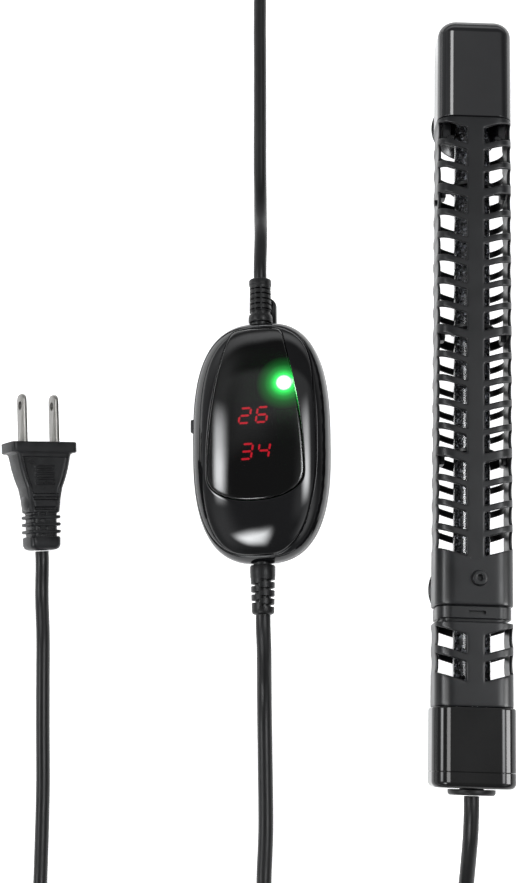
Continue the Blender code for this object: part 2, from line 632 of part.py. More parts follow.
def make_controller():
    frame = bpy.data.objects.new("controller_frame", None)
    bpy.context.scene.collection.objects.link(frame)
    turn = Matrix.Rotation(BODY_TURN, 4, "Z") @ Matrix.Rotation(BODY_ROLL, 4, "Y")
    lowest = min((turn @ Vector(p)).z for share in (0.0, 0.26, 0.52, 0.72, 0.85)
                 for p in pebble_ring(share, -GAP / 2 - (BACK_H - GAP / 2) * dome_share(share)))
    frame.matrix_world = Matrix.Translation(Vector((*BODY_AT, -lowest)) * MM) @ turn

    front = shell("controller_front_shell", DOME_H, GLOSS, frame)
    back = shell("controller_back_shell", -BACK_H, GLOSS, frame)
    make_reliefs(frame)
    make_lens(frame)

    outline = lens_outline(GAP)
    window = [[(u, v, w) for u, v in outline] for w in (1.0, DOME_H + 2)]
    cut(front, loft("window_cutter", window, None, frame))
    for side in (1, -1):
        neck = [[(a, y, b) for a, b in circle(3.3 + GAP, 20)]
                for y in (side * (BODY_HALF_V - SHELL - 1.5), side * (BODY_HALF_V + 2))]
        cutter = loft(f"relief_cutter_{side + 2}", neck, None, frame)
        cut(front, cutter)
        cut(back, cutter)

    wall_u = -BODY_HALF_U * (1 - (BUTTON_W / DOME_H) ** DOME_P) ** (1 / DOME_P)
    button_u = wall_u - BUTTON_PROUD
    hole = block("button_cutter", (wall_u, BUTTON_V, BUTTON_W),
                 (6.0, BUTTON_LONG + 2 * GAP, 2.6 + 2 * GAP), None, frame)
    cut(front, hole)
    block("set_button", (button_u + 1.9, BUTTON_V, BUTTON_W), (3.8, BUTTON_LONG, 2.6), BLACK, frame)
    block("tact_switch", (button_u + 6.6, BUTTON_V, BUTTON_W), (3.6, 6.0, 3.0), COMPONENT, frame)

    ear = [[(u, v, w) for u, v in circle(EAR_R, 20, (EAR_U, EAR_V))] for w in (EAR_W - 1.0, EAR_W + 1.0)]
    root = block("ear_root", (EAR_U, EAR_V - 7.0, EAR_W), (2 * EAR_R, 14.0, 1.98), None, frame)
    cut(back, loft("hanging_ear", ear, None, frame), "UNION")
    cut(back, root, "UNION")
    eye = [[(u, v, w) for u, v in circle(1.9, 14, (EAR_U, EAR_V))] for w in (EAR_W - 3, EAR_W + 3)]
    cut(back, loft("ear_eye", eye, None, frame))

    for number, (u, v) in enumerate(((-15, 30), (15, 30), (-15, -30), (15, -30)), 1):
        head = -dome_height(u, v, BACK_H)
        bore = [[(a, b, w) for a, b in circle(2.2, 14, (u, v))] for w in (head - 3.0, head + 1.4)]
        shank = [[(a, b, w) for a, b in circle(1.1, 14, (u, v))] for w in (head - 3.0, head + 4.0)]
        cut(back, loft(f"screw_bore_{number}", bore, None, frame))
        cut(back, loft(f"screw_shank_{number}", shank, None, frame))
        screw = [[(a, b, w) for a, b in circle(r, 12, (u, v))]
                 for r, w in ((1.9, head + 0.2), (1.9, head + 1.1), (0.8, head + 1.1), (0.8, head + 6.0))]
        loft(f"case_screw_{number}", screw, STEEL, frame)

    deck = 5.0
    loft("circuit_board", [pebble_ring(0.79, w, SHELL) for w in (deck - 0.7, deck + 0.7)], BOARD, frame)
    block("display_upper", (-0.4, 7.6, 8.7), (15.0, 10.4, 5.4), COMPONENT, frame)
    block("display_lower", (0.2, -5.8, 8.7), (15.0, 10.4, 5.4), COMPONENT, frame)
    led = ((2.9, deck + 1.0), (2.9, deck + 2.0), (2.5, deck + 2.0), (2.5, deck + 3.6), (1.3, deck + 5.2))
    turned("status_led", led, CLEAR_GREEN, lambda a, b, height: (10.0 + a, 20.4 + b, height), 16, frame)
    block("relay", (8.0, -17.0, -1.8), (15.0, 19.0, 11.4), RELAY_BLUE, frame)
    block("transformer", (-5.0, 16.0, -1.2), (16.0, 16.0, 10.2), COMPONENT, frame)
    turned("capacitor", ((4.0, -6.0), (4.0, 3.9)), COMPONENT,
           lambda a, b, height: (-9.0 + a, -10.0 + b, height), 16, frame)
    turned("fuse", ((2.5, 24.0), (2.5, 36.0)), CERAMIC,
           lambda a, b, height: (12.0 + a, height - 12.0, 1.4 + b), 12, frame)
    return frame


# ---- plug -------------------------------------------------------------------

def make_plug():
    frame = bpy.data.objects.new("plug_frame", None)
    bpy.context.scene.collection.objects.link(frame)
    turn = (Matrix.Rotation(PLUG_TURN, 4, "Z") @ Matrix.Rotation(PLUG_PITCH, 4, "X")
            @ Matrix.Rotation(PLUG_ROLL, 4, "Y"))
    face = [(u, v, w) for v in (0.0, -4.0) for u, w in rounded_rect(*FACE_HALF, FACE_CORNER)]
    face += [(u, v, w) for v in (-26.0, -28.3, 1.2 - PLUG_LONG) for u, w in rounded_rect(6.3, 5.1, 2.4)]
    lowest = min((turn @ Vector(p)).z for p in face)
    frame.matrix_world = Matrix.Translation(Vector((*PLUG_AT, -lowest)) * MM) @ turn

    sections = ((0.0, *FACE_HALF, FACE_CORNER), (-4.0, *FACE_HALF, FACE_CORNER), (-4.4, 10.7, 5.7, 3.0),
                (-10.0, 9.6, 5.6, 3.0), (-17.0, 7.2, 5.3, 2.8), (-21.0, 6.3, 5.0, 2.6),
                (-26.0, 5.9, 4.9, 2.4), (-26.2, 5.2, 4.3, 2.2))
    rings = [[(u, v, w) for u, w in rounded_rect(a, b, r)] for v, a, b, r in sections]
    for rib in range(3):
        at = -27.2 - rib * 2.7
        for v, grow in ((at, 0.0), (at - 0.1, 1.2), (at - 1.0, 1.2), (at - 1.1, 0.0)):
            rings.append([(u, v, w) for u, w in rounded_rect(5.3 + grow, 4.3 + grow * 0.6, 2.2)])
    for v, grow in ((-35.1, 0.0), (-35.2, 0.8), (1.2 - PLUG_LONG, 0.6), (-PLUG_LONG, -0.4)):
        rings.append([(u, v, w) for u, w in rounded_rect(5.3 + grow, 4.3 + grow, 2.4)])
    body = loft("plug_body", rings, BLACK, frame)

    thick, long, wide = BLADE
    for name, side in (("blade_left", -1), ("blade_right", 1)):
        centre = side * BLADE_SPACING / 2
        rings = []
        for v, half in ((-BLADE_ROOT, wide / 2), (long - 1.6, wide / 2), (long, wide / 2 - 1.2)):
            taper = 0.25 if v == long else 0.0
            rings.append([(centre + a * (thick / 2 - taper), v, b * half)
                          for a, b in ((1, 1), (-1, 1), (-1, -1), (1, -1))])
        blade = loft(name, rings, NICKEL, frame)
        hole = [[(u, v, w) for v, w in circle(1.6, 16, (long - 4.3, 0.0))] for u in (centre - 2, centre + 2)]
        cut(blade, loft(name + "_hole", hole, None, frame))
        slot = block(name + "_slot", (centre, -BLADE_ROOT / 2 - GAP / 2 + 0.5, 0.0),
                     (thick + 2 * GAP, BLADE_ROOT + GAP + 1.0, wide + 2 * GAP), None, frame)
        cut(body, slot)
    return frame


# ---- cords ------------------------------------------------------------------

def smooth_path(route, spacing, lowest):
    """Even points along a smooth curve through the route's points."""
    pts = [Vector(p) for p in route]
    ends = [pts[0] * 2 - pts[1]] + pts + [pts[-1] * 2 - pts[-2]]
    dense = []
    for i in range(1, len(ends) - 2):
        a, b, c, d = ends[i - 1:i + 3]
        for k in range(12):
            t = k / 12
            dense.append(0.5 * (2 * b + (c - a) * t + (2 * a - 5 * b + 4 * c - d) * t ** 2
                                + (3 * b - a - 3 * c + d) * t ** 3))
    dense.append(pts[-1])
    for p in dense:
        p.z = max(p.z, lowest)
    total = sum((q - p).length for p, q in zip(dense, dense[1:]))
    count = max(2, round(total / spacing))
    path = [dense[0]]
    walked = 0.0
    for p, q in zip(dense, dense[1:]):
        step = (q - p).length
        while len(path) < count and walked + step >= total * len(path) / count:
            path.append(p.lerp(q, (total * len(path) / count - walked) / step))
        walked += step
    # The route's second and last but one points keep the cord straight at its ends.
    return [path[0], pts[1]] + path[1:] + [pts[-2], dense[-1]]


def cord_tube(name, route, diameter):
    curve = bpy.data.curves.new(name, "CURVE")
    curve.dimensions = "3D"
    path = smooth_path(route, diameter * 2.6, diameter / 2)
    spline = curve.splines.new("POLY")
    spline.points.add(len(path) - 1)
    for point, at in zip(spline.points, path):
        point.co = (*(at * MM), 1.0)
    curve.bevel_depth = diameter / 2 * MM
    curve.bevel_resolution = 2
    curve.use_fill_caps = True
    link(name, curve, VINYL)


def cord_coil(name, centre, diameter, columns, layers):
    """One turned ring in the outer shape of a coil, flat on the surface."""
    middle = COIL_DIAMETERS * diameter / 2
    inner = middle - columns * diameter / 2
    outer = middle + columns * diameter / 2
    top = layers * diameter
    profile = ((inner, 0.0), (outer, 0.0), (outer, top), (inner, top))
    turned(name, profile, VINYL, upright(*centre), sides=32, ring_like=True)


def entry_rise(diameter, columns):
    """How far beyond a coil's middle a tangent cord clears the ring."""
    middle = COIL_DIAMETERS * diameter / 2
    outer = middle + columns * diameter / 2 + GAP
    near = middle + (columns / 2 - 1) * diameter
    return math.sqrt(outer ** 2 - near ** 2) + 0.4


def make_cords(controller, plug):
    def in_world(frame, u, v, w=0.0):
        return frame.matrix_world @ (Vector((u, v, w)) * MM) / MM

    thick = HEATER_CORD_D
    floor = thick / 2
    reach = (COIL_DIAMETERS / 2 + 1) * thick
    coil_x = -reach
    coil_entry = HEATER_COIL_Y + entry_rise(thick, 3)
    start = -HALF_LENGTH - GAP
    cord_tube("heater_cord_a", (
        (0.0, start, AXIS_Z), (0.0, start - 5, AXIS_Z), (0.0, start - 14, AXIS_Z - 2.6),
        (0.0, start - 23, 12.4), (0.0, start - 32, 6.8), (0.0, start - 41, floor + 0.9),
        (0.0, start - 50, floor), (0.0, coil_entry, floor)), thick)
    cord_coil("heater_cord_coil", (coil_x, HEATER_COIL_Y), thick, 3, 2)
    end = in_world(controller, 0.0, RELIEF_END_V - GAP)
    near_end = in_world(controller, 0.0, RELIEF_END_V - GAP - 5)
    on_coil = 1.5 * thick
    cord_tube("heater_cord_b", (
        (coil_x - reach, coil_entry, on_coil), (coil_x - reach, coil_entry + 4, on_coil),
        (coil_x - reach, coil_entry + 16, floor + 2.4), (coil_x - reach, coil_entry + 28, floor),
        (-71.4, -160.0, floor), (-72.2, -140.0, floor), (-73.0, -122.0, floor + 0.2),
        (-73.5, -110.0, floor + 2.6), (-74.0, -98.0, end.z - 3.0), tuple(near_end), tuple(end)), thick)

    thick = MAINS_CORD_D
    floor = thick / 2
    reach = (COIL_DIAMETERS / 2 + 0.5) * thick
    coil_x, coil_y = MAINS_COIL_AT
    coil_entry = coil_y + entry_rise(thick, 2)
    start = in_world(controller, 0.0, RELIEF_TOP_V + GAP)
    near_start = in_world(controller, 0.0, RELIEF_TOP_V + GAP + 5)
    cord_tube("mains_cord_a", (
        tuple(start), tuple(near_start), (-80.1, 61.0, start.z - 3.2), (-80.5, 71.0, floor + 3.4),
        (-80.9, 82.0, floor + 0.5), (-81.4, 94.0, floor), (-82.2, 120.0, floor), (-83.2, 150.0, floor),
        (-84.4, 176.0, floor), (-89.0, 196.0, floor), (-103.0, 213.0, floor), (-124.0, 221.0, floor),
        (-150.0, 221.0, floor), (-174.0, 215.0, floor), (-192.0, 200.0, floor), (-201.0, 178.0, floor),
        (-203.5, 140.0, floor), (-204.5, 90.0, floor), (-205.5, 30.0, floor), (-207.0, -40.0, floor),
        (-208.5, -110.0, floor), (-210.5, -165.0, floor), (coil_x - reach, coil_entry, floor)), thick)
    cord_coil("mains_cord_coil", MAINS_COIL_AT, thick, 2, 2)
    end = in_world(plug, 0.0, -PLUG_LONG - GAP)
    near_end = in_world(plug, 0.0, -PLUG_LONG - GAP - 5)
    on_coil = 1.5 * thick
    cord_tube("mains_cord_b", (
        (coil_x + reach, coil_entry, on_coil), (coil_x + reach, coil_entry + 4, on_coil),
        (coil_x + reach, coil_entry + 15, floor + 2.2), (coil_x + reach - 0.2, coil_entry + 26, floor),
        (-152.2, -150.0, floor), (-153.6, -128.0, floor), (-154.8, -108.0, floor),
        (-155.5, -94.0, floor + 1.0), (-156.3, -80.0, floor + 4.6), tuple(near_end), tuple(end)), thick)


def main():
    clear_scene()
    make_guard()
    make_top_cap()
    make_lock_collar()
    make_lower_cage()
    make_base()
    make_tube_group()
    make_base_internals()
    make_suction_cups()
    controller = make_controller()
    plug = make_plug()
    bpy.context.view_layer.update()
    make_cords(controller, plug)


main()
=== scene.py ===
"""Looks of the aquarium heater, its controller, plug and cords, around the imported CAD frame.

Shapes are written in millimetres, in the CAD's frame, and become metres in mesh_piece.
The heater lies along Y with its axis at x = 0; the controller and the plug each have
a tilted frame of their own (u across, v along, w out of the face), read from the
places of their screws and blades.
"""
import math

import bmesh
import bpy
import numpy as np
from mathutils import Matrix, Vector


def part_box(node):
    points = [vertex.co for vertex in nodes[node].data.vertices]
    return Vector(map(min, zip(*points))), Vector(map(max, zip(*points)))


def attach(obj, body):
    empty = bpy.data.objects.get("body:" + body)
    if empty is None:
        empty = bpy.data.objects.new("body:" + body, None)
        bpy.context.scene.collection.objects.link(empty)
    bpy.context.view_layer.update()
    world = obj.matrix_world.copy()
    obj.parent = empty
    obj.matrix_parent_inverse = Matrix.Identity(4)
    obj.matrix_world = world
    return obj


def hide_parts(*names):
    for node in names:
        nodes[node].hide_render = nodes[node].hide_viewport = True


MM = 0.001
GAP = 0.3                       # clearance that the CAD keeps between its pieces

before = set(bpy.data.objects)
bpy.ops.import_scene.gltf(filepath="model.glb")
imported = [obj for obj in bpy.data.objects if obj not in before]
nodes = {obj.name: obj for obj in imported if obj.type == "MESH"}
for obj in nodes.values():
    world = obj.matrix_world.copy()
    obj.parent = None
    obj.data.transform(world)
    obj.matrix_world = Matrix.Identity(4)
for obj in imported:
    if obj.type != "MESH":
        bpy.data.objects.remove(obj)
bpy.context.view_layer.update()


def box_mm(node):
    low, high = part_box(node)
    return low / MM, high / MM


# ---- heater sizes, read from the frame --------------------------------------
cage_low, cage_high = box_mm("lower_cage")
HALF_W = cage_high.x
HALF_D = (cage_high.z - cage_low.z) / 2
AXIS_Z = (cage_high.z + cage_low.z) / 2
CORNER = 5.7                    # radius of the long edges
CHEVRON = math.tan(math.radians(16.0))      # how far the bars drop towards the middle
ROW_X = 10.5                    # where a row's top is measured
COLUMN = 3.25                   # half width of the column between the slots
SLOT = 6.55                     # slot along the heater
FIRST_ROW_TOP = 102.3
BAR, WIDE_BAR = 2.49, 3.54      # bars between the rows
WIDE_AFTER = (3, 9, 14)         # rows with the wide bar below them
ROWS = 18
LOWER_ROW_TOP = -89.12
LOWER_BAR = 2.96
BOSS_AT = (1.25, -71.2)         # hang boss on the guard's lower band
CUP_Y = {"upper": 113.0, "lower": -72.05}
LAMP_REACH = 10.4               # from the lamp's middle to where its glow has faded
POINT = 0.02                    # radius of a ring that closes to a point

# ---- camera -----------------------------------------------------------------
CAMERA_AT = (-0.077534, -0.141255, 0.558924)
CAMERA_TILT = math.radians(12.5)
CAMERA_ROLL = math.radians(-1.82)
LENS_MM = 61.155

# ---- cords, mm: the routes are those of the CAD -----------------------------
HEATER_CORD_D = 5.5
MAINS_CORD_D = 5.0
COIL_DIAMETERS = 11
HEATER_COIL_Y = -224.0
MAINS_COIL_AT = (-181.0, -224.0)


def make_camera():
    camera = bpy.data.objects.new("camera", bpy.data.cameras.new("camera"))
    bpy.context.scene.collection.objects.link(camera)
    flat_up = Vector((0.0, math.cos(CAMERA_TILT), math.sin(CAMERA_TILT)))
    flat_right = Vector((1.0, 0.0, 0.0))
    up = flat_up * math.cos(CAMERA_ROLL) + flat_right * math.sin(CAMERA_ROLL)
    right = flat_right * math.cos(CAMERA_ROLL) - flat_up * math.sin(CAMERA_ROLL)
    turn = Matrix((right, up, right.cross(up))).transposed().to_4x4()
    camera.matrix_world = Matrix.Translation(CAMERA_AT) @ turn
    camera.data.lens = LENS_MM
    camera.data.clip_start = 0.01
    bpy.context.scene.camera = camera


# ---- materials --------------------------------------------------------------

def new_material(name, colour, roughness, metallic=0.0, specular=0.5):
    made = bpy.data.materials.new(name)
    made.use_nodes = True
    shader = made.node_tree.nodes["Principled BSDF"]
    shader.inputs["Base Color"].default_value = (*colour, 1.0)
    shader.inputs["Roughness"].default_value = roughness
    shader.inputs["Metallic"].default_value = metallic
    shader.inputs["Specular IOR Level"].default_value = specular
    return made, made.node_tree, shader


def noise_node(tree, size_mm, detail=3.0, stretch=(1.0, 1.0, 1.0)):
    """Noise with features of about this size, in object space."""
    where = tree.nodes.new("ShaderNodeTexCoord")
    scaled = tree.nodes.new("ShaderNodeMapping")
    scaled.inputs["Scale"].default_value = stretch
    tree.links.new(where.outputs["Object"], scaled.inputs["Vector"])
    noise = tree.nodes.new("ShaderNodeTexNoise")
    noise.inputs["Scale"].default_value = 1.0 / (size_mm * MM)
    noise.inputs["Detail"].default_value = detail
    tree.links.new(scaled.outputs["Vector"], noise.inputs["Vector"])
    return noise


def ramp_node(tree, source, stops):
    ramp = tree.nodes.new("ShaderNodeValToRGB")
    while len(ramp.color_ramp.elements) < len(stops):
        ramp.color_ramp.elements.new(0.5)
    for element, (at, colour) in zip(ramp.color_ramp.elements, stops):
        element.position = at
        element.color = (*colour, 1.0)
    tree.links.new(source, ramp.inputs["Fac"])
    return ramp


def grey(value):
    return (value, value, value)


def moulded(name, colour, roughness, grain_mm=0.5, depth_mm=0.01, blotch_mm=9.0, mottle=0.12,
            specular=0.5, metallic=0.0, stretch=(1.0, 1.0, 1.0)):
    """Moulded surface: fine grain in the normal, slow changes in gloss and colour."""
    made, tree, shader = new_material(name, colour, roughness, metallic, specular)
    grain = noise_node(tree, grain_mm, 4.0, stretch)
    bump = tree.nodes.new("ShaderNodeBump")
    bump.inputs["Strength"].default_value = 1.0
    bump.inputs["Distance"].default_value = depth_mm * MM
    tree.links.new(grain.outputs["Fac"], bump.inputs["Height"])
    tree.links.new(bump.outputs["Normal"], shader.inputs["Normal"])
    blotch = noise_node(tree, blotch_mm, 5.0)
    low, high = roughness * (1 - mottle), roughness * (1 + mottle)
    gloss = ramp_node(tree, blotch.outputs["Fac"], ((0.3, grey(low)), (0.7, grey(high))))
    tree.links.new(gloss.outputs["Color"], shader.inputs["Roughness"])
    dark = tuple(c * (1 - mottle) for c in colour)
    light = tuple(c * (1 + mottle) for c in colour)
    tint = ramp_node(tree, blotch.outputs["Fac"], ((0.3, dark), (0.7, light)))
    tree.links.new(tint.outputs["Color"], shader.inputs["Base Color"])
    return made


def glowing(name, colour, strength):
    made, _, shader = new_material(name, tuple(c * 0.2 for c in colour), 0.4)
    shader.inputs["Emission Color"].default_value = (*colour, 1.0)
    shader.inputs["Emission Strength"].default_value = strength
    return made


def halo_material(name, colour, core, strength, radius_mm, faint):
    """A lamp's glow on its diffuser: white-hot core that fades outwards from the disc's middle."""
    made, tree, shader = new_material(name, (0.0, 0.0, 0.0), 0.6)
    where = tree.nodes.new("ShaderNodeTexCoord")
    length = tree.nodes.new("ShaderNodeVectorMath")
    length.operation = "LENGTH"
    tree.links.new(where.outputs["Object"], length.inputs[0])
    share = tree.nodes.new("ShaderNodeMath")
    share.operation = "DIVIDE"
    share.inputs[1].default_value = radius_mm * MM
    tree.links.new(length.outputs["Value"], share.inputs[0])
    tint = ramp_node(tree, share.outputs["Value"], (
        (0.0, core), (0.20, core), (0.29, colour), (0.36, tuple(c * 0.50 for c in colour)),
        (0.50, tuple(c * 0.19 for c in colour)), (0.68, tuple(c * 0.06 for c in colour)),
        (0.84, tuple(c * faint for c in colour)), (1.0, (0.0, 0.0, 0.0))))
    tree.links.new(tint.outputs["Color"], shader.inputs["Emission Color"])
    shader.inputs["Emission Strength"].default_value = strength
    return made


def granular(name):
    """Dark quartz sand: cells of different grey with bright facets."""
    made, tree, shader = new_material(name, (0.05, 0.05, 0.055), 0.45)
    where = tree.nodes.new("ShaderNodeTexCoord")
    cells = tree.nodes.new("ShaderNodeTexVoronoi")
    cells.inputs["Scale"].default_value = 1.0 / (0.75 * MM)
    tree.links.new(where.outputs["Object"], cells.inputs["Vector"])
    split = tree.nodes.new("ShaderNodeSeparateColor")
    tree.links.new(cells.outputs["Color"], split.inputs["Color"])
    tint = ramp_node(tree, split.outputs["Red"], (
        (0.0, (0.006, 0.006, 0.007)), (0.55, (0.030, 0.031, 0.034)), (0.85, (0.085, 0.088, 0.098)),
        (1.0, (0.30, 0.31, 0.35))))
    tree.links.new(tint.outputs["Color"], shader.inputs["Base Color"])
    gloss = ramp_node(tree, split.outputs["Green"], ((0.0, grey(0.15)), (1.0, grey(0.7))))
    tree.links.new(gloss.outputs["Color"], shader.inputs["Roughness"])
    bump = tree.nodes.new("ShaderNodeBump")
    bump.inputs["Distance"].default_value = 0.25 * MM
    bump.invert = True
    tree.links.new(cells.outputs["Distance"], bump.inputs["Height"])
    tree.links.new(bump.outputs["Normal"], shader.inputs["Normal"])
    return made


def clear(name, colour, roughness, ior):
    made, tree, shader = new_material(name, colour, roughness)
    shader.inputs["Transmission Weight"].default_value = 1.0
    shader.inputs["IOR"].default_value = ior
    streaks = noise_node(tree, 14.0, 2.0, (1.0, 0.15, 1.0))
    gloss = ramp_node(tree, streaks.outputs["Fac"],
                      ((0.35, grey(roughness)), (0.75, grey(roughness + 0.03))))
    tree.links.new(gloss.outputs["Color"], shader.inputs["Roughness"])
    return made


CAGE = moulded("cage_plastic", (0.0040, 0.0042, 0.0047), 0.32, 0.35, 0.010, mottle=0.10, specular=0.33)
GLOSS = moulded("gloss_plastic", (0.0055, 0.0055, 0.006), 0.10, 3.0, 0.006, 20.0, mottle=0.15)
# A darker copy of the gloss plastic with lower specular: painted shade, so the base housing's and end
# plate's flats look darker than the cap's, though all are the same gloss black.
GLOSS_SHADED = moulded("gloss_plastic_shaded", (0.004, 0.004, 0.004), 0.11, 3.0, 0.006, 20.0, mottle=0.15, specular=0.28)
CASE = moulded("case_plastic", (0.004, 0.004, 0.0045), 0.055, 5.0, 0.004, 20.0, mottle=0.2)
SMOKE = clear("smoked_window", (0.035, 0.033, 0.035), 0.03, 1.49)
QUARTZ = clear("quartz_glass", (0.96, 0.975, 0.985), 0.01, 1.46)
SAND = granular("quartz_sand")
RUBBER = moulded("relief_rubber", (0.005, 0.005, 0.0053), 0.40, 0.30, 0.02, 6.0, mottle=0.2, specular=0.28)
PLUG_VINYL = moulded("plug_vinyl", (0.0065, 0.0067, 0.0074), 0.36, 0.28, 0.035, 5.0, mottle=0.25,
                     specular=0.30)
CORD_VINYL = moulded("cord_vinyl", (0.005, 0.005, 0.0053), 0.36, 0.9, 0.012, 16.0, mottle=0.2,
                     specular=0.30, stretch=(1.0, 0.3, 1.0))
SILICONE = moulded("silicone", (0.009, 0.009, 0.01), 0.22, 2.0, 0.008, 7.0, mottle=0.2)
NICKEL = moulded("nickel_plate", (0.21, 0.204, 0.193), 0.36, 0.25, 0.006, 4.0, mottle=0.2,
                 metallic=1.0, stretch=(1.0, 0.08, 1.0))
STEEL = moulded("steel", (0.55, 0.55, 0.56), 0.30, 0.2, 0.004, 3.0, mottle=0.15, metallic=1.0)
CERAMIC = moulded("ceramic", (0.78, 0.77, 0.73), 0.5, 0.3, 0.02, 4.0, mottle=0.06)
EPOXY = moulded("epoxy", (0.03, 0.03, 0.032), 0.3, 1.2, 0.02, 5.0)
BOARD = moulded("board_laminate", (0.012, 0.075, 0.03), 0.35, 0.4, 0.01, 2.5, mottle=0.3)
COMPONENT = moulded("component_black", (0.018, 0.018, 0.02), 0.45, 0.3, 0.01, 5.0)
BLUE = moulded("relay_case", (0.02, 0.07, 0.33), 0.32, 0.6, 0.01, 6.0)
RED_WIRE = moulded("wire_red", (0.38, 0.015, 0.015), 0.38, 0.6, 0.01, 3.0)
WHITE_WIRE = moulded("wire_white", (0.78, 0.77, 0.74), 0.4, 0.6, 0.01, 3.0, mottle=0.05)
BUTTON = moulded("button_plastic", (0.012, 0.012, 0.013), 0.30, 0.4, 0.012, 3.0)
DIGIT = glowing("digit_red", (1.0, 0.012, 0.035), 15.0)
LAMP = glowing("lamp_green", (0.06, 1.0, 0.12), 12.0)
GLOW = halo_material("lamp_glow", (0.03, 1.0, 0.12), (1.0, 0.85, 1.0), 55.0, LAMP_REACH, 0.025)


# ---- mesh building ----------------------------------------------------------

def mesh_piece(name, points, faces, finish, body, slot, replaced=(), sharp=38.0, place=None):
    """A closed, smooth-shaded mesh from points in mm; place takes a local frame to the world."""
    mesh = bpy.data.meshes.new(name)
    if place is not None:
        turn = np.array(place.to_3x3())
        shift = np.array(place.translation) / MM
        points = np.asarray(points, float) @ turn.T + shift
    mesh.from_pydata((np.asarray(points, float) * MM).tolist(), [], faces)
    work = bmesh.new()
    work.from_mesh(mesh)
    bmesh.ops.recalc_face_normals(work, faces=work.faces)
    work.to_mesh(mesh)
    work.free()
    mesh.shade_smooth()
    mesh.set_sharp_from_angle(angle=math.radians(sharp))
    piece = bpy.data.objects.new(name, mesh)
    bpy.context.scene.collection.objects.link(piece)
    mesh.materials.append(finish)
    return enrol(piece, body, replaced)


def enrol(piece, body, replaced=()):
    if body:
        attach(piece, body)
    if replaced:
        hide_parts(*replaced)
    return piece


def loft_faces(ring_count, count, ring_like=False):
    faces = []
    for r in range(ring_count if ring_like else ring_count - 1):
        a = r * count
        b = ((r + 1) % ring_count) * count
        for i in range(count):
            j = (i + 1) % count
            faces.append((a + i, a + j, b + j, b + i))
    if not ring_like:
        faces.append(tuple(reversed(range(count))))
        faces.append(tuple(range((ring_count - 1) * count, ring_count * count)))
    return faces


def loft(name, rings, finish, body, slot, replaced=(), ring_like=False, **more):
    points = np.concatenate([np.asarray(ring, float) for ring in rings])
    faces = loft_faces(len(rings), len(rings[0]), ring_like)
    return mesh_piece(name, points, faces, finish, body, slot, replaced, **more)


def eased(line, radius, steps=4, closed=False):
    """The line's points with each corner rounded off."""
    made = []
    pts = [Vector(p) for p in line]
    for i, p in enumerate(pts):
        if not closed and i in (0, len(pts) - 1):
            made.append(p)
            continue
        before, after = pts[i - 1] - p, pts[(i + 1) % len(pts)] - p
        cut = min(radius, 0.45 * before.length, 0.45 * after.length)
        if cut < 0.01:
            made.append(p)
            continue
        a, b = p + before.normalized() * cut, p + after.normalized() * cut
        for k in range(steps + 1):
            t = k / steps
            made.append(a.lerp(p, t).lerp(p.lerp(b, t), t))
    return made


def rounded_rect(half_w, half_d, radius, steps=9):
    """Outline points, anticlockwise, with steps + 1 points round each corner. The radius is
    kept above 0.3 mm, but below each half side."""
    radius = min(max(radius, 0.3), 0.9 * half_w, 0.9 * half_d)
    outline = []
    for corner in range(4):
        across = (half_w - radius) * (1, -1, -1, 1)[corner]
        deep = (half_d - radius) * (1, 1, -1, -1)[corner]
        for k in range(steps + 1):
            turn = math.radians(90 * corner + 90 * k / steps)
            outline.append((across + radius * math.cos(turn), deep + radius * math.sin(turn)))
    return outline


def along_y(outline, y):
    return [(p, y, AXIS_Z + q) for p, q in outline]


def circle(radius, sides):
    turns = [2 * math.pi * i / sides for i in range(sides)]
    return [(radius * math.cos(t), radius * math.sin(t)) for t in turns]


def turned(name, profile, place_at, finish, body, slot, replaced=(), sides=96, ease=0.25):
    """Turn a (radius, height) profile; place_at maps (a, b, height) to a point."""
    rings = [[place_at(a, b, p[1]) for a, b in circle(max(p[0], POINT), sides)]
             for p in eased(profile, ease)]
    return loft(name, rings, finish, body, slot, replaced)


def heater_axis(a, b, height):
    return a, height, AXIS_Z + b


def upright_at(x, y):
    return lambda a, b, height: (x + a, y + b, height)


def carve(piece, cutter):
    """Cut the cutter's shape out of the piece, and remove the cutter."""
    modifier = piece.modifiers.new("carve", "BOOLEAN")
    modifier.operation = "DIFFERENCE"
    modifier.solver = "EXACT"
    modifier.object = cutter
    bpy.context.view_layer.update()
    graph = bpy.context.evaluated_depsgraph_get()
    result = bpy.data.meshes.new_from_object(piece.evaluated_get(graph))
    piece.modifiers.remove(modifier)
    piece.data = result
    result.set_sharp_from_angle(angle=math.radians(38.0))
    bpy.data.objects.remove(cutter, do_unlink=True)


def even_normals(piece):
    """Keep flats flat where they meet small roundings."""
    modifier = piece.modifiers.new("even_normals", "WEIGHTED_NORMAL")
    modifier.keep_sharp = True


def subdivide(piece, levels):
    modifier = piece.modifiers.new("smooth", "SUBSURF")
    modifier.levels = levels
    modifier.render_levels = levels
    modifier.boundary_smooth = "PRESERVE_CORNERS"


def block_rings(centre, half, radius):
    """The rings of a box with rounded edges all round."""
    rings = []
    for k in range(5):
        turn = math.radians(90 * k / 4)
        rings.append((radius * (1 - math.sin(turn)), -half[2] + radius * (1 - math.cos(turn))))
    rings += [(inset, -z) for inset, z in reversed(rings)]
    return [[(centre[0] + p, centre[1] + q, centre[2] + z)
             for p, q in rounded_rect(half[0] - inset, half[1] - inset, radius * 1.2 - inset * 0.5, 5)]
            for inset, z in rings]


def block(name, centre, half, radius, finish, body, slot, replaced=(), place=None):
    made = loft(name, block_rings(centre, half, radius), finish, body, slot, replaced, place=place)
    even_normals(made)
    return made


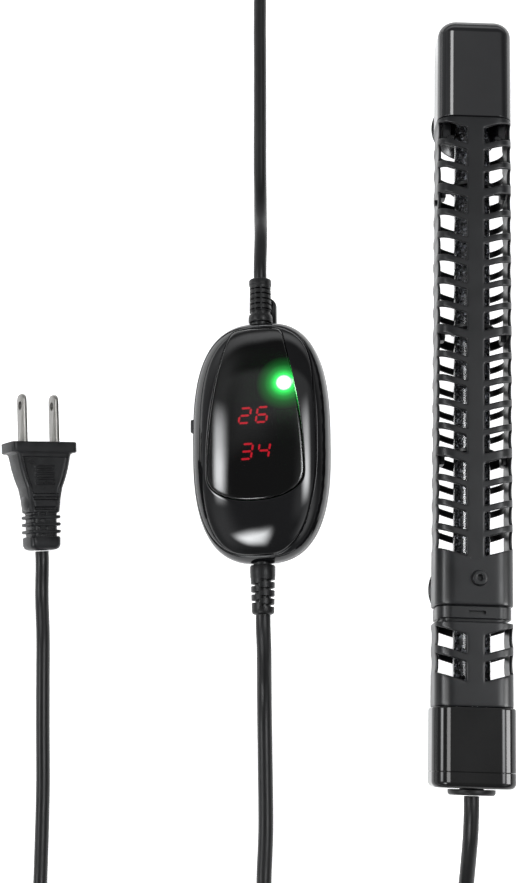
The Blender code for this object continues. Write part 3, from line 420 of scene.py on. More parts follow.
# ---- heater -----------------------------------------------------------------
# One quarter of a slotted sleeve's outline, from the front's middle to the side's
# middle: (flat, x) on the front face, (arc, outer turn, inner turn) round the corner.
QUARTER = (("flat", 0.0), ("flat", COLUMN - 0.8), ("flat", COLUMN), ("flat", COLUMN + 0.8), ("flat", 6.4),
           ("arc", 0.0, 0.0), ("arc", 18.0, 24.0), ("arc", 35.0, 47.0), ("arc", 52.0, 66.0),
           ("arc", 64.0, 76.0), ("arc", 71.0, 80.0), ("arc", 79.0, 85.0), ("arc", 90.0, 90.0), ("side", 0.0))
OPEN_FROM, OPEN_TO = 2, 10      # the slot's ends in that list
RAIL_IN = 0.35                  # the side rails lie this much deeper than the bars


def sleeve_quarter(inset, inner):
    half_w, half_d, radius = HALF_W - inset, HALF_D - inset, max(CORNER - inset, 1.2)
    quarter = []
    for kind, *turns in QUARTER:
        if kind == "flat":
            quarter.append((turns[0], half_d))
        elif kind == "side":
            quarter.append((half_w, 0.0))
        else:
            turn = math.radians(turns[1] if inner else turns[0])
            quarter.append((half_w - radius + radius * math.sin(turn),
                            half_d - radius + radius * math.cos(turn)))
    return quarter


def sleeve_outline(inset, inner=False):
    quarter = sleeve_quarter(inset, inner)
    down = [(x, -z) for x, z in reversed(quarter[:-1])]
    right = quarter + down
    return right + [(-x, z) for x, z in reversed(right[1:-1])]


def sleeve(name, stations, finish, body, slot, replaced):
    """stations: (y, inset, wall, chevron, open_below, rail_in) from the top down."""
    count = len(sleeve_outline(0.0))
    last_column = len(QUARTER) - 1
    points = []
    for y, inset, wall, chevron, _, rail_in in stations:
        outer, inner = sleeve_outline(inset), sleeve_outline(inset + wall, inner=True)
        for shell in (outer, inner):
            for index, (x, z) in enumerate(shell):
                reach = abs(outer[index][0]) - ROW_X
                drop = CHEVRON * reach if chevron else 0.0
                if rail_in and abs(outer[index][0]) > HALF_W - 0.9:
                    x -= math.copysign(RAIL_IN, x)
                points.append((x, y + drop, AXIS_Z + z))

    def is_open(station, index):
        if not stations[station][4]:
            return False
        place = index % count
        for start in (0, 2 * last_column):
            if start + OPEN_FROM <= place < start + OPEN_TO:
                return True
            if start - OPEN_TO <= place - (count if start == 0 else 0) < start - OPEN_FROM:
                return True
        return False

    def at(station, side, index):
        return (station * 2 + side) * count + index % count

    faces = []
    last = len(stations) - 1
    for s in range(last):
        for i in range(count):
            if not is_open(s, i):
                faces.append((at(s, 0, i), at(s, 0, i + 1), at(s + 1, 0, i + 1), at(s + 1, 0, i)))
                faces.append((at(s, 1, i), at(s + 1, 1, i), at(s + 1, 1, i + 1), at(s, 1, i + 1)))
                continue
            if not is_open(s, i - 1):
                faces.append((at(s, 0, i), at(s + 1, 0, i), at(s + 1, 1, i), at(s, 1, i)))
            if not is_open(s, i + 1):
                faces.append((at(s, 0, i + 1), at(s, 1, i + 1), at(s + 1, 1, i + 1), at(s + 1, 0, i + 1)))
            if s == 0 or not is_open(s - 1, i):
                faces.append((at(s, 0, i), at(s, 1, i), at(s, 1, i + 1), at(s, 0, i + 1)))
            if s == last - 1 or not is_open(s + 1, i):
                faces.append((at(s + 1, 0, i), at(s + 1, 0, i + 1), at(s + 1, 1, i + 1), at(s + 1, 1, i)))
    for i in range(count):
        faces.append((at(0, 0, i), at(0, 1, i), at(0, 1, i + 1), at(0, 0, i + 1)))
        faces.append((at(last, 0, i), at(last, 0, i + 1), at(last, 1, i + 1), at(last, 1, i)))
    used = sorted({v for face in faces for v in face})
    renumber = {old: new for new, old in enumerate(used)}
    points = [points[old] for old in used]
    faces = [tuple(renumber[v] for v in face) for face in faces]
    piece = mesh_piece(name, points, faces, finish, body, slot, replaced, sharp=180.0)
    subdivide(piece, 2)
    return piece


def plain(y, inset, wall):
    """A station of a sleeve's closed part, square to its axis."""
    return (y, inset, wall, False, False, False)


def slot_row(top, wall):
    """Stations of one row of slots, with a support line on each side of each edge."""
    near, rail = 0.55, 0.9
    lines = ((near, False, False), (0.0, True, False), (-rail, True, True), (rail - SLOT, True, True),
             (-SLOT, False, False), (-SLOT - near, False, False))
    return [(top + shift, 0.0, wall, True, opens, rail_in) for shift, opens, rail_in in lines]


def row_tops():
    y = FIRST_ROW_TOP
    tops = []
    for row in range(1, ROWS + 1):
        tops.append(y)
        y -= SLOT + (WIDE_BAR if row in WIDE_AFTER else BAR)
    return tops


def make_guard():
    low, high = box_mm("guard_cage")
    wall, band_wall = 1.2, 2.0
    stations = [plain(high.y, 0.0, wall), plain(high.y - 0.25, 0.0, wall)]
    for top in row_tops():
        stations += slot_row(top, wall)
    band_top = stations[-1][0] - 2.2
    stations += [plain(band_top, 0.0, wall), plain(band_top - 1.5, 0.0, band_wall),
                 plain(low.y + 0.25, 0.0, band_wall), plain(low.y, 0.0, band_wall)]
    sleeve("guard_shell", stations, CAGE, "guard", "cage_plastic", ("guard_cage",))

    top = AXIS_Z + HALF_D
    boss = ((0.0, top - 0.7), (3.0, top - 0.7), (2.95, top + 0.1), (2.65, top + 0.4), (2.55, top + 1.9),
            (1.1, top + 1.9), (1.0, top - 0.4), (0.0, top - 0.4))
    turned("guard_boss", boss, upright_at(*BOSS_AT), CAGE, "guard", "cage_plastic", sides=64)
    back = AXIS_Z - HALF_D
    stud = ((0.0, back + 0.6), (3.0, back + 0.6), (3.0, back - 0.2), (1.8, back - 0.8), (1.8, 6.3),
            (2.6, 5.9), (2.6, 5.2), (1.4, 4.7), (0.0, 4.7))
    for place, y in CUP_Y.items():
        turned(f"cup_stud_{place}", stud, upright_at(0.0, y), CAGE, "guard", "cage_plastic", sides=48)
    # A small latch nub stands on the left rail.
    block("rail_nub", (-HALF_W - 0.1, 72.6, AXIS_Z + 2.0), (0.55, 0.9, 1.2), 0.35, CAGE, "guard",
          "cage_plastic")


def make_top_cap():
    seam = box_mm("guard_cage")[1].y + GAP
    tip = box_mm("top_cap")[1].y
    fillet = 6.7
    spigot = 2.1
    inner_w, inner_d = HALF_W - 2.7, HALF_D - 2.7
    cavity = rounded_rect(inner_w, inner_d, 3.0)
    outer = rounded_rect(inner_w + 1.2, inner_d + 1.2, 4.0)
    rings = [along_y(rounded_rect(inner_w - 1.0, inner_d - 1.0, 2.5), tip - 8.0), along_y(cavity, tip - 8.0),
             along_y(cavity, seam - spigot), along_y(outer, seam - spigot), along_y(outer, seam)]
    for k in range(4):
        turn = math.radians(30 * k)
        grow = 0.3 * math.sin(turn)
        outline = rounded_rect(HALF_W - 0.3 + grow, HALF_D - 0.3 + grow, CORNER)
        rings.append(along_y(outline, seam + 0.3 * (1 - math.cos(turn))))
    for k in range(15):
        turn = math.radians(90 * k / 14)
        inset = fillet * (1 - math.cos(turn))
        outline = rounded_rect(HALF_W - inset, HALF_D - inset, CORNER - inset * 0.6)
        rings.append(along_y(outline, tip - fillet + fillet * math.sin(turn)))
    rings.append(along_y(rounded_rect(3.0, 1.0, 0.5), tip))
    cap = loft("cap_moulding", rings, GLOSS, "guard", "gloss_black", ("top_cap",))
    even_normals(cap)
    # Snap hooks of the cap hang inside the first rows of slots.
    for side in (-1, 1):
        name = "left" if side < 0 else "right"
        block(f"cap_hook_{name}", (side * 10.4, seam - 4.4, AXIS_Z + 3.0), (1.5, 3.0, 3.2), 0.5, CAGE,
              "guard", "gloss_black")
        block(f"cap_barb_{name}", (side * 8.9, seam - 7.0, AXIS_Z + 4.5), (1.3, 0.9, 2.0), 0.4, CAGE,
              "guard", "gloss_black")


def make_lower_heater():
    low, high = box_mm("lock_collar")
    inset = 0.7
    rings = []
    for y, grow in ((high.y, -0.25), (high.y - 0.25, 0.0), (low.y + 0.25, 0.0), (low.y, -0.25)):
        shrink = inset - grow
        rings.append(along_y(rounded_rect(HALF_W - shrink, HALF_D - shrink, CORNER - shrink), y))
    inner = rounded_rect(HALF_W - 2.0, HALF_D - 2.0, CORNER - 2.0)
    rings += [along_y(inner, low.y), along_y(inner, high.y)]
    collar = loft("collar_ring", rings, CAGE, "heater", "cage_plastic", ("lock_collar",), ring_like=True)
    cutter = block("latch_cutter", (0.6, (low.y + high.y) / 2, AXIS_Z + HALF_D), (3.1, 0.6, 2.6), 0.2,
                   CAGE, None, None)
    carve(collar, cutter)
    even_normals(collar)

    wall, neck_wall, neck = 1.2, 1.3, 2.3
    neck_top = box_mm("lower_cage")[1].y
    cage_top = low.y - 1.23
    stations = [plain(neck_top, neck, neck_wall), plain(low.y - GAP, neck, neck_wall),
                plain(cage_top + 0.02, neck, neck_wall), plain(cage_top, neck - 0.4, neck_wall),
                plain(cage_top - 0.01, 0.5, wall + 0.3), plain(cage_top - 0.05, 0.0, wall + 0.3),
                plain(cage_top - 0.4, 0.0, wall + 0.3)]
    for row in range(2):
        stations += slot_row(LOWER_ROW_TOP - row * (SLOT + LOWER_BAR), wall)
    end = box_mm("lower_cage")[0].y
    stations += [plain(end + 0.3, 0.0, wall), plain(end - 0.2, 0.0, wall)]
    sleeve("lower_cage_shell", stations, CAGE, "heater", "cage_plastic", ("lower_cage",))
    make_base()


def make_base():
    low, high = box_mm("base_housing")
    half_w, half_d, corner = high.x, (high.z - low.z) / 2, 6.2
    edge = 0.7

    def ring(y, inset):
        return along_y(rounded_rect(half_w - inset, half_d - inset, corner - inset), y)

    cavity = rounded_rect(half_w - 1.8, half_d - 1.8, corner - 1.8)
    count = len(cavity)
    bore = circle(8.4, count)
    rings = [along_y(cavity, low.y - 0.12), along_y(cavity, high.y - 2.6), along_y(bore, high.y - 2.6),
             along_y(bore, high.y)]
    for k in range(5):
        turn = math.radians(90 * k / 4)
        rings.append(ring(high.y - edge * (1 - math.cos(turn)), edge * (1 - math.sin(turn))))
    rings += [ring(low.y + 0.05, 0.0), ring(low.y - 0.12, 0.15)]
    even_normals(loft("base_shell", rings, GLOSS_SHADED, "heater", "gloss_black", ("base_housing",), ring_like=True))

    low, high = box_mm("base_end_plate")
    edge = 2.2
    rings = [along_y(circle(4.5, count), high.y + 0.4), ring(high.y + 0.4, 2.1), ring(high.y + 0.12, 2.1),
             ring(high.y + 0.12, 0.15), ring(high.y - 0.05, 0.0)]
    for k in range(9):
        turn = math.radians(90 * k / 8)
        rings.append(ring(low.y + edge * (1 - math.sin(turn)), edge * (1 - math.cos(turn))))
    rings.append(along_y(circle(4.5, count), low.y))
    even_normals(loft("end_plate_shell", rings, GLOSS_SHADED, "heater", "gloss_black", ("base_end_plate",),
                      ring_like=True))

    seam, gland_end = box_mm("cable_gland")[1].y, box_mm("cable_gland")[0].y
    face = low.y - GAP
    gland = ((0.0, seam), (4.2, seam), (4.2, face), (8.4, face), (8.4, gland_end + 0.6), (7.8, gland_end),
             (3.1, gland_end), (3.0, gland_end + 1.2), (0.0, gland_end + 1.2))
    turned("gland_body", gland, heater_axis, RUBBER, "heater", "gloss_black", ("cable_gland",))


def make_tube_group():
    low, high = box_mm("quartz_tube")
    radius, wall = high.x, 1.0
    inner = radius - wall
    dome = high.y - radius
    profile = [(0.0, dome + inner)]
    profile += [(inner * math.cos(math.radians(t)), dome + inner * math.sin(math.radians(t)))
                for t in range(80, -1, -10)]
    profile += [(inner, low.y), (radius, low.y)]
    profile += [(radius * math.cos(math.radians(t)), dome + radius * math.sin(math.radians(t)))
                for t in range(0, 89, 8)]
    turned("glass_tube", profile, heater_axis, QUARTZ, "heater", "quartz", ("quartz_tube",), ease=0.02)

    low, high = box_mm("tube_fill")
    outer, bore = inner + 0.1, 3.65
    sides, rows = 90, 520
    noise = np.random.default_rng(7)
    rings = []
    for k in range(rows + 1):
        y = high.y + (low.y - high.y) * k / rows
        turns = 2 * math.pi * np.arange(sides) / sides
        radii = outer - noise.uniform(0.0, 0.08, sides)
        rings.append(np.column_stack((radii * np.cos(turns), np.full(sides, y),
                                      AXIS_Z + radii * np.sin(turns))))
    for y in (low.y, high.y):
        rings.append(np.array(along_y(circle(bore, sides), y)))
    loft("sand_fill", rings, SAND, "heater", "quartz_sand", ("tube_fill",), ring_like=True, sharp=180.0)

    low, high = box_mm("tip_cushion")
    top = high.y - 3.6
    cushion = ((0.0, top), (7.0, top), (7.0, low.y), (7.7, low.y), (7.7, top + 2.1), (6.5, top + 3.6),
               (0.0, top + 3.6))
    turned("cushion_sleeve", cushion, heater_axis, SILICONE, "guard", "silicone", ("tip_cushion",), sides=64)

    for number in range(1, 4):
        make_support(number)


def make_support(number):
    """A ring round the tube, an arm to each side wall, and a lug that clips under a bar."""
    low, high = box_mm(f"tube_support_{number}")
    reach, ring_r, arm, sides = high.x, high.z - AXIS_Z, 3.4, 240
    turns = 2 * np.pi * np.arange(sides) / sides
    across, up = np.maximum(np.abs(np.cos(turns)), 1e-3), np.maximum(np.abs(np.sin(turns)), 1e-3)
    outline = blurred(np.maximum(ring_r, np.minimum(reach / across, arm / up)), 5)
    rings = []
    for radii, y in ((7.05, low.y), (outline - 0.15, low.y), (outline, low.y + 0.15),
                     (outline, high.y - 0.15), (outline - 0.15, high.y), (7.05, high.y)):
        radii = radii * np.ones(sides)
        rings.append(np.column_stack((radii * np.cos(turns), np.full(sides, y),
                                      AXIS_Z + radii * np.sin(turns))))
    loft(f"support_ring_{number}", rings, CAGE, "guard", "cage_plastic", (f"tube_support_{number}",),
         ring_like=True)
    for side in (-1, 1):
        block(f"support_lug_{number}_{'left' if side < 0 else 'right'}",
              (side * 11.4, low.y - 2.0, AXIS_Z + 1.0), (1.1, 2.2, 2.6), 0.6, CAGE, "guard", "cage_plastic")


def make_suction_cups():
    radius = box_mm("suction_cup_upper")[1].x
    neck_top = AXIS_Z - HALF_D - GAP
    profile = ((0.0, 2.9), (5.0, 2.5), (9.0, 1.3), (11.9, 0.05), (radius, 0.0), (radius, 0.55), (11.4, 1.9),
               (8.4, 3.7), (5.8, 6.0), (5.0, 7.0), (5.0, neck_top), (2.1, neck_top), (2.1, 6.6), (2.9, 6.3),
               (2.9, 4.3), (0.0, 4.3))
    for place, y in CUP_Y.items():
        turned(f"cup_{place}", profile, upright_at(0.0, y), SILICONE, f"{place}_cup", "silicone",
               (f"suction_cup_{place}",), ease=0.6)


# ---- controller -------------------------------------------------------------
BODY_HALF_U, BODY_HALF_V = 25.9, 45.5
DOME_H, BACK_H = 13.6, 13.2
PEBBLE, DOME_P = 2.75, 2.5
SHELL = 1.8
LENS_TOP_V, LENS_WIDE_V, LENS_END_V = 41.2, -13.8, -23.8
LENS_TOP_U, LENS_WIDE_U = 9.4, 18.3
LENS_RAISE, LENS_THICK = 0.3, 1.6
LENS_MID_V = (LENS_TOP_V + LENS_END_V) / 2
STYLE_SHARE = 0.95              # where the styling groove runs, as a share of the pebble's outline
STYLE_SHARE_RIGHT = 0.865
ANGLES = 300


def middle_of(node):
    low, high = box_mm(node)
    return (low + high) / 2


def local_points(node, place):
    points = np.array([v.co for v in nodes[node].data.vertices])
    inverse = np.array(place.inverted())
    return (points @ inverse[:3, :3].T + inverse[:3, 3]) / MM


def controller_frame():
    """From the four case screws: 1 and 2 lie along u at +v, 3 and 4 at -v."""
    screws = [Vector(np.mean([v.co for v in nodes[f"case_screw_{n}"].data.vertices], axis=0)) / MM
              for n in range(1, 5)]
    across = (screws[1] - screws[0] + screws[3] - screws[2]).normalized()
    along = (screws[0] - screws[2] + screws[1] - screws[3]).normalized()
    out = across.cross(along)
    place = Matrix((across, along, out)).transposed().to_4x4()
    place.translation = sum(screws, Vector()) / 4 * MM
    belt = local_points("controller_front_shell", place)[:, 2].min() - GAP / 2
    place.translation += out * belt * MM
    return place


def plug_frame():
    """From the blades' middles and their long direction."""
    across = (middle_of("blade_right") - middle_of("blade_left")).normalized()
    blades = np.array([v.co for name in ("blade_left", "blade_right") for v in nodes[name].data.vertices])
    spread = blades - blades.mean(0)
    spread -= np.outer(spread @ np.array(across), np.array(across))
    along = Vector(np.linalg.eigh(spread.T @ spread)[1][:, -1])
    middle = (middle_of("blade_right") + middle_of("blade_left")) / 2
    if along.dot(middle - middle_of("plug_body")) < 0:
        along = -along
    place = Matrix((across, along, across.cross(along))).transposed().to_4x4()
    place.translation = middle * MM
    face = local_points("plug_body", place)[:, 1].max()
    place.translation += along * face * MM
    return place


def share_of(u, v, inset=0.0):
    return ((np.abs(u) / (BODY_HALF_U - inset)) ** PEBBLE
            + (np.abs(v) / (BODY_HALF_V - inset)) ** PEBBLE) ** (1 / PEBBLE)


def dome(u, v, height, inset=0.0):
    share = np.clip(share_of(u, v, inset), 0.0, 1.0)
    return height * np.clip(1 - share ** DOME_P, 0.0, 1.0) ** (1 / DOME_P)


def front(u, v):
    return dome(u, v, DOME_H)


def level_at(height):
    return lambda u, v: np.full(len(u), height)


def pebble_outline(share=1.0, inset=0.0, steps=900):
    turns = 2 * np.pi * np.arange(steps) / steps
    c, s = np.cos(turns), np.sin(turns)
    reach = (np.abs(c) ** PEBBLE + np.abs(s) ** PEBBLE) ** (-1 / PEBBLE)
    reach = share * reach
    return np.column_stack((reach * c * (BODY_HALF_U - inset), reach * s * (BODY_HALF_V - inset)))


def lens_outline():
    """Shield outline: a curved top, long sides that widen, and a rounded lower end."""
    right = []
    for t in np.linspace(0.0, 1.0, 40):
        right.append((LENS_TOP_U + (LENS_WIDE_U - LENS_TOP_U) * math.sin(math.pi / 2 * t) ** 0.9,
                      LENS_TOP_V + (LENS_WIDE_V - LENS_TOP_V) * t))
    for t in np.linspace(0.04, 0.98, 30):
        turn = math.pi / 2 * t
        right.append((LENS_WIDE_U * math.cos(turn) ** 0.9,
                      LENS_WIDE_V - (LENS_WIDE_V - LENS_END_V) * math.sin(turn)))
    left = [(-u, v) for u, v in reversed(right)]
    top = [(LENS_TOP_U * k / 5, LENS_TOP_V + 0.9 * (1 - (k / 5) ** 2)) for k in range(-4, 5)]
    return np.array(right + [(0.0, LENS_END_V)] + left + top)


def star_radius(outline, angles):
    """Distance from the lens's middle to a closed outline, in each direction."""
    away = outline - np.array((0.0, LENS_MID_V))
    turns = np.arctan2(away[:, 1], away[:, 0])
    order = np.argsort(turns)
    return np.interp(angles, turns[order], np.hypot(away[:, 0], away[:, 1])[order], period=2 * np.pi)


def blurred(values, width):
    """Round off corners of a closed run of values."""
    kernel = np.hanning(width + 2)[1:-1]
    padded = np.concatenate((values[-width:], values, values[:width]))
    return np.convolve(padded, kernel / kernel.sum(), "same")[width:-width]


def style_outline():
    """The styling groove's line: close to the rim, and further in along the right side."""
    outline = pebble_outline()
    right = smooth_step(outline[:, 0], 6.0, 20.0) * (1 - smooth_step(outline[:, 1], 16.0, 42.0))
    right = right * (1 - 0.5 * smooth_step(-outline[:, 1], 26.0, 42.0))
    share = STYLE_SHARE + (STYLE_SHARE_RIGHT - STYLE_SHARE) * right
    return outline * share[:, None]


def ring_at(radii, angles, height_of, offset=0.0):
    u = radii * np.cos(angles)
    v = LENS_MID_V + radii * np.sin(angles)
    return np.column_stack((u, v, height_of(u, v) + offset))


def make_front_shell(place):
    angles = 2 * np.pi * np.arange(ANGLES) / ANGLES
    window = blurred(star_radius(lens_outline(), angles), 7) + GAP
    style = star_radius(style_outline(), angles)
    belt = star_radius(pebble_outline(), angles)
    inner_belt = star_radius(pebble_outline(inset=SHELL), angles)

    rings = [ring_at(window, angles, front, -2.2), ring_at(window, angles, front, -0.28)]
    lip = 0.28
    for k in range(1, 4):
        turn = math.radians(30 * k)
        radii = window + lip * (1 - math.cos(turn))
        rings.append(ring_at(radii, angles, front, -lip * (1 - math.sin(turn))))
    start, stop = window + 0.3, style - 0.62
    for t in np.linspace(0.0, 1.0, 22)[1:]:
        rings.append(ring_at(start + (stop - start) * t, angles, front))
    for away, drop in ((-0.46, 0.03), (-0.34, 0.12), (-0.22, 0.34), (-0.1, 0.47), (0.1, 0.47), (0.22, 0.34),
                       (0.34, 0.12), (0.46, 0.03), (0.62, 0.0)):
        rings.append(ring_at(style + away, angles, front, -drop))
    start = style + 0.62
    for t in np.linspace(0.0, 1.0, 20)[1:-1]:
        rings.append(ring_at(start + (belt - start) * (1 - (1 - t) ** 2.2), angles, front))
    rings.append(ring_at(belt * 0.9992, angles, level_at(0.45)))
    rings.append(ring_at(belt * 0.998, angles, level_at(GAP / 2)))
    rings.append(ring_at(inner_belt, angles, level_at(GAP / 2)))
    for t in (0.08, 0.25, 0.5, 0.8):
        radii = inner_belt + (window - inner_belt) * t
        rings.append(ring_at(radii, angles, lambda u, v: dome(u, v, DOME_H - SHELL, SHELL)))
    loft("case_front", rings, CASE, "heater", "gloss_black", ("controller_front_shell",),
         ring_like=True, sharp=50.0, place=place)


def make_lens(place):
    angles = 2 * np.pi * np.arange(ANGLES) / ANGLES
    edge = blurred(star_radius(lens_outline(), angles), 7)

    rings = []
    for t in np.linspace(0.02, 0.99, 26):
        rings.append(ring_at(edge * t, angles, front, LENS_RAISE - LENS_THICK))
    rings.append(ring_at(edge, angles, front, LENS_RAISE - LENS_THICK + 0.15))
    round_r = 0.6
    for k in range(6):
        turn = math.radians(90 * k / 5)
        rings.append(ring_at(edge - round_r * (1 - math.cos(turn)), angles, front,
                             LENS_RAISE - round_r * (1 - math.sin(turn))))
    for t in np.linspace(0.975, 0.015, 34):
        rings.append(ring_at((edge - round_r) * t, angles, front, LENS_RAISE))
    loft("window_lens", rings, SMOKE, "heater", "lens_smoke", ("display_lens",), sharp=50.0, place=place)


def make_back_shell(place):
    count = 160
    shares = [1 - (1 - t) ** 2.2 for t in np.linspace(1.0, 0.02, 34)]

    def ring(share, inset, height, belt):
        outline = pebble_outline(share, inset, count)
        w = dome(outline[:, 0], outline[:, 1], height, inset)
        return np.column_stack((outline, -np.maximum(w, belt)))

    rings = [ring(share, SHELL, BACK_H - SHELL, GAP / 2) for share in (0.15, 0.45, 0.75, 0.93, 1.0)]
    rings.append(ring(0.9985, 0.0, 0.0, GAP / 2))
    rings.append(ring(0.9995, 0.0, 0.0, GAP / 2 + 0.3))
    rings += [ring(share, 0.0, BACK_H, GAP / 2 + 0.4) for share in shares[1:]]
    shell = loft("case_back", rings, CASE, "heater", "gloss_black", ("controller_back_shell",),
                 sharp=50.0, place=place)
    for number, (u, v) in enumerate(((-15, 30), (15, 30), (-15, -30), (15, -30)), 1):
        head = -float(dome(np.array(u), np.array(v), BACK_H))
        cutter = [[(u + a, v + b, w) for a, b in circle(2.25, 40)] for w in (head - 3.0, head + 1.5)]
        carve(shell, loft(f"bore_{number}", cutter, CASE, None, None, place=place))
        make_screw(number, u, v, head, place)
    make_ear(place)


def make_screw(number, u, v, head, place):
    profile = eased([(0.3, head + 0.3), (1.95, head + 0.55), (1.95, head + 1.2), (0.9, head + 1.2),
                     (0.9, head + 5.8), (0.3, head + 5.8)], 0.3)
    rings = [[(u + a, v + b, p[1]) for a, b in circle(p[0], 48)] for p in profile]
    screw = loft(f"screw_{number}", rings, STEEL, "heater", "steel", (f"case_screw_{number}",), place=place)
    for half in ((1.25, 0.26, 0.5), (0.26, 1.25, 0.5)):
        carve(screw, block("recess", (u, v, head + 0.45), half, 0.08, STEEL, None, None, place=place))


def make_ear(place):
    """Hanging ear behind the mains cord's relief: a rounded tongue with an eye."""
    at_u, at_v, at_w, radius, thick = 1.0, 54.0, -6.3, 3.8, 1.0
    outline = [(at_u + radius * math.cos(math.radians(t)), at_v + radius * math.sin(math.radians(t)))
               for t in range(0, 181, 6)]
    outline += [(at_u - radius, at_v - 12.0), (at_u + radius, at_v - 12.0)]
    middle = (at_u, at_v - 4.0)
    rings = []
    for inset, w in ((0.35, -thick), (0.1, -thick + 0.1), (0.0, -thick + 0.35), (0.0, thick - 0.35),
                     (0.1, thick - 0.1), (0.35, thick)):
        ring = []
        for u, v in outline:
            away = Vector((u - middle[0], v - middle[1]))
            moved = away * (1 - inset / max(away.length, 1.0))
            ring.append((middle[0] + moved.x, middle[1] + moved.y, at_w + w))
        rings.append(ring)
    ear = loft("hanging_ear", rings, CASE, "heater", "gloss_black", place=place)
    eye = [[(at_u + a, at_v + b, w) for a, b in circle(1.9, 40)] for w in (at_w - 2, at_w + 2)]
    carve(ear, loft("ear_eye", eye, CASE, None, None, place=place))


def smooth_step(x, low, high):
    t = np.clip((x - low) / (high - low), 0.0, 1.0)
    return t * t * (3 - 2 * t)


def relief_piece(name, stations, grooves, replaced, place, side):
    """A cord's strain relief. stations: (distance, radius). grooves: (from, to, depth, middle
    turn in degrees, half width in degrees) cut only the part of the ring round that turn."""
    sides = 120
    turns = 2 * np.pi * np.arange(sides) / sides
    distances, radii = zip(*stations)
    cuts = {round(d, 3) for start, end, *_ in grooves for d in (start, start + 0.14, end - 0.14, end)}
    rings = []
    for d in sorted(cuts | set(np.round(distances, 3))):
        radius = np.full(sides, np.interp(d, distances, radii))
        for start, end, depth, middle, half in grooves:
            if start + 0.13 < d < end - 0.13:
                away = np.abs((turns - math.radians(middle) + np.pi) % (2 * np.pi) - np.pi)
                radius = radius - depth * (1 - smooth_step(np.degrees(away), half - 7.0, half))
        rings.append(np.column_stack((radius * np.cos(turns), np.full(sides, side * d),
                                      radius * np.sin(turns))))
    loft(name, rings, RUBBER, "heater", "relief_rubber", (replaced,), sharp=42.0, place=place)


def make_reliefs(place):
    wall = BODY_HALF_V + GAP
    end = local_points("mains_strain_relief", place)[:, 1].max()
    stations = [(wall - 9.0, 3.3), (wall - 1.2, 3.3), (wall + 0.1, 3.4), (wall + 0.3, 4.35),
                (wall + 0.8, 4.55), (wall + 2.6, 4.5), (wall + 3.1, 4.3), (wall + 3.2, 3.75),
                (wall + 4.4, 3.75), (wall + 4.5, 4.15), (end - 2.6, 4.0), (end - 2.4, 4.05),
                (end - 2.2, 4.25), (end - 0.4, 4.3), (end - 0.1, 4.1), (end, 3.8)]
    grooves = []
    first, pitch, width, depth = wall + 4.8, 2.02, 0.62, 1.05
    for k in range(5):
        start = first + k * pitch
        for shift, middle, half in ((0.0, 8.0, 62.0), (0.0, 172.0, 62.0), (0.0, 270.0, 40.0),
                                    (0.001, 90.0, 14.0)):
            grooves.append((start + shift, start + width + shift, depth, middle, half))
    relief_piece("mains_relief_boot", stations, grooves, "mains_strain_relief", place, 1)

    end = -local_points("heater_strain_relief", place)[:, 1].min()
    stations = [(wall - 9.0, 3.3), (wall - 1.2, 3.3), (wall + 0.1, 3.4), (wall + 0.3, 4.4),
                (wall + 0.8, 4.65), (wall + 4.4, 4.6), (wall + 5.0, 4.45), (wall + 9.0, 4.35),
                (end - 1.0, 4.1), (end - 0.3, 3.9), (end, 3.5)]
    grooves = []
    for k in range(4):
        at = wall + 5.5 + k * 3.0
        grooves.append((at, at + 1.0, 1.35, 0.0, 86.0))
        if k < 3:
            grooves.append((at + 1.5, at + 2.5, 1.35, 180.0, 86.0))
    relief_piece("heater_relief_boot", stations, grooves, "heater_strain_relief", place, -1)


# Segments of a seven-segment digit: middle x, middle y and whether it stands upright,
# on a digit one unit wide and two high.
SEGMENTS = {"a": (0.0, 1.0, False), "b": (0.5, 0.5, True), "c": (0.5, -0.5, True), "d": (0.0, -1.0, False),
            "e": (-0.5, -0.5, True), "f": (-0.5, 0.5, True), "g": (0.0, 0.0, False)}
DIGITS = {"2": "abged", "6": "afgedc", "3": "abgcd", "4": "fgbc"}
DIGIT_W, DIGIT_H = 3.9, 5.5
DIGIT_SLANT = 0.17
STROKE = 0.72


def make_digits(place):
    """Generic two-digit numbers, as bars on the faces of the two display modules."""
    for node, digits in (("display_upper", "26"), ("display_lower", "34")):
        local = local_points(node, place)
        middle = (local.min(0) + local.max(0)) / 2
        top = local[:, 2].max()
        points, faces = [], []
        for index, digit in enumerate(digits):
            centre = middle[0] + 0.4 + (index - 0.5) * 6.4
            for segment in DIGITS[digit]:
                x, y, upright = SEGMENTS[segment]
                long = (DIGIT_H / 2 if upright else DIGIT_W) / 2 - 0.28
                half = STROKE / 2
                bar = [(-long, 0.0), (-long + half, half), (long - half, half), (long, 0.0),
                       (long - half, -half), (-long + half, -half)]
                first = len(points)
                for level in (top + 0.05, top + 0.25):
                    for p, q in bar:
                        if upright:
                            p, q = -q, p
                        across = x * DIGIT_W + p
                        high = y * DIGIT_H / 2 + q
                        points.append((centre + across + DIGIT_SLANT * high, middle[1] + high, level))
                faces.append(tuple(first + i for i in reversed(range(6))))
                faces.append(tuple(first + 6 + i for i in range(6)))
                faces += [(first + i, first + (i + 1) % 6, first + 6 + (i + 1) % 6, first + 6 + i)
                          for i in range(6)]
        mesh_piece(f"{node}_digits", points, faces, DIGIT, "heater", "led_display", place=place)


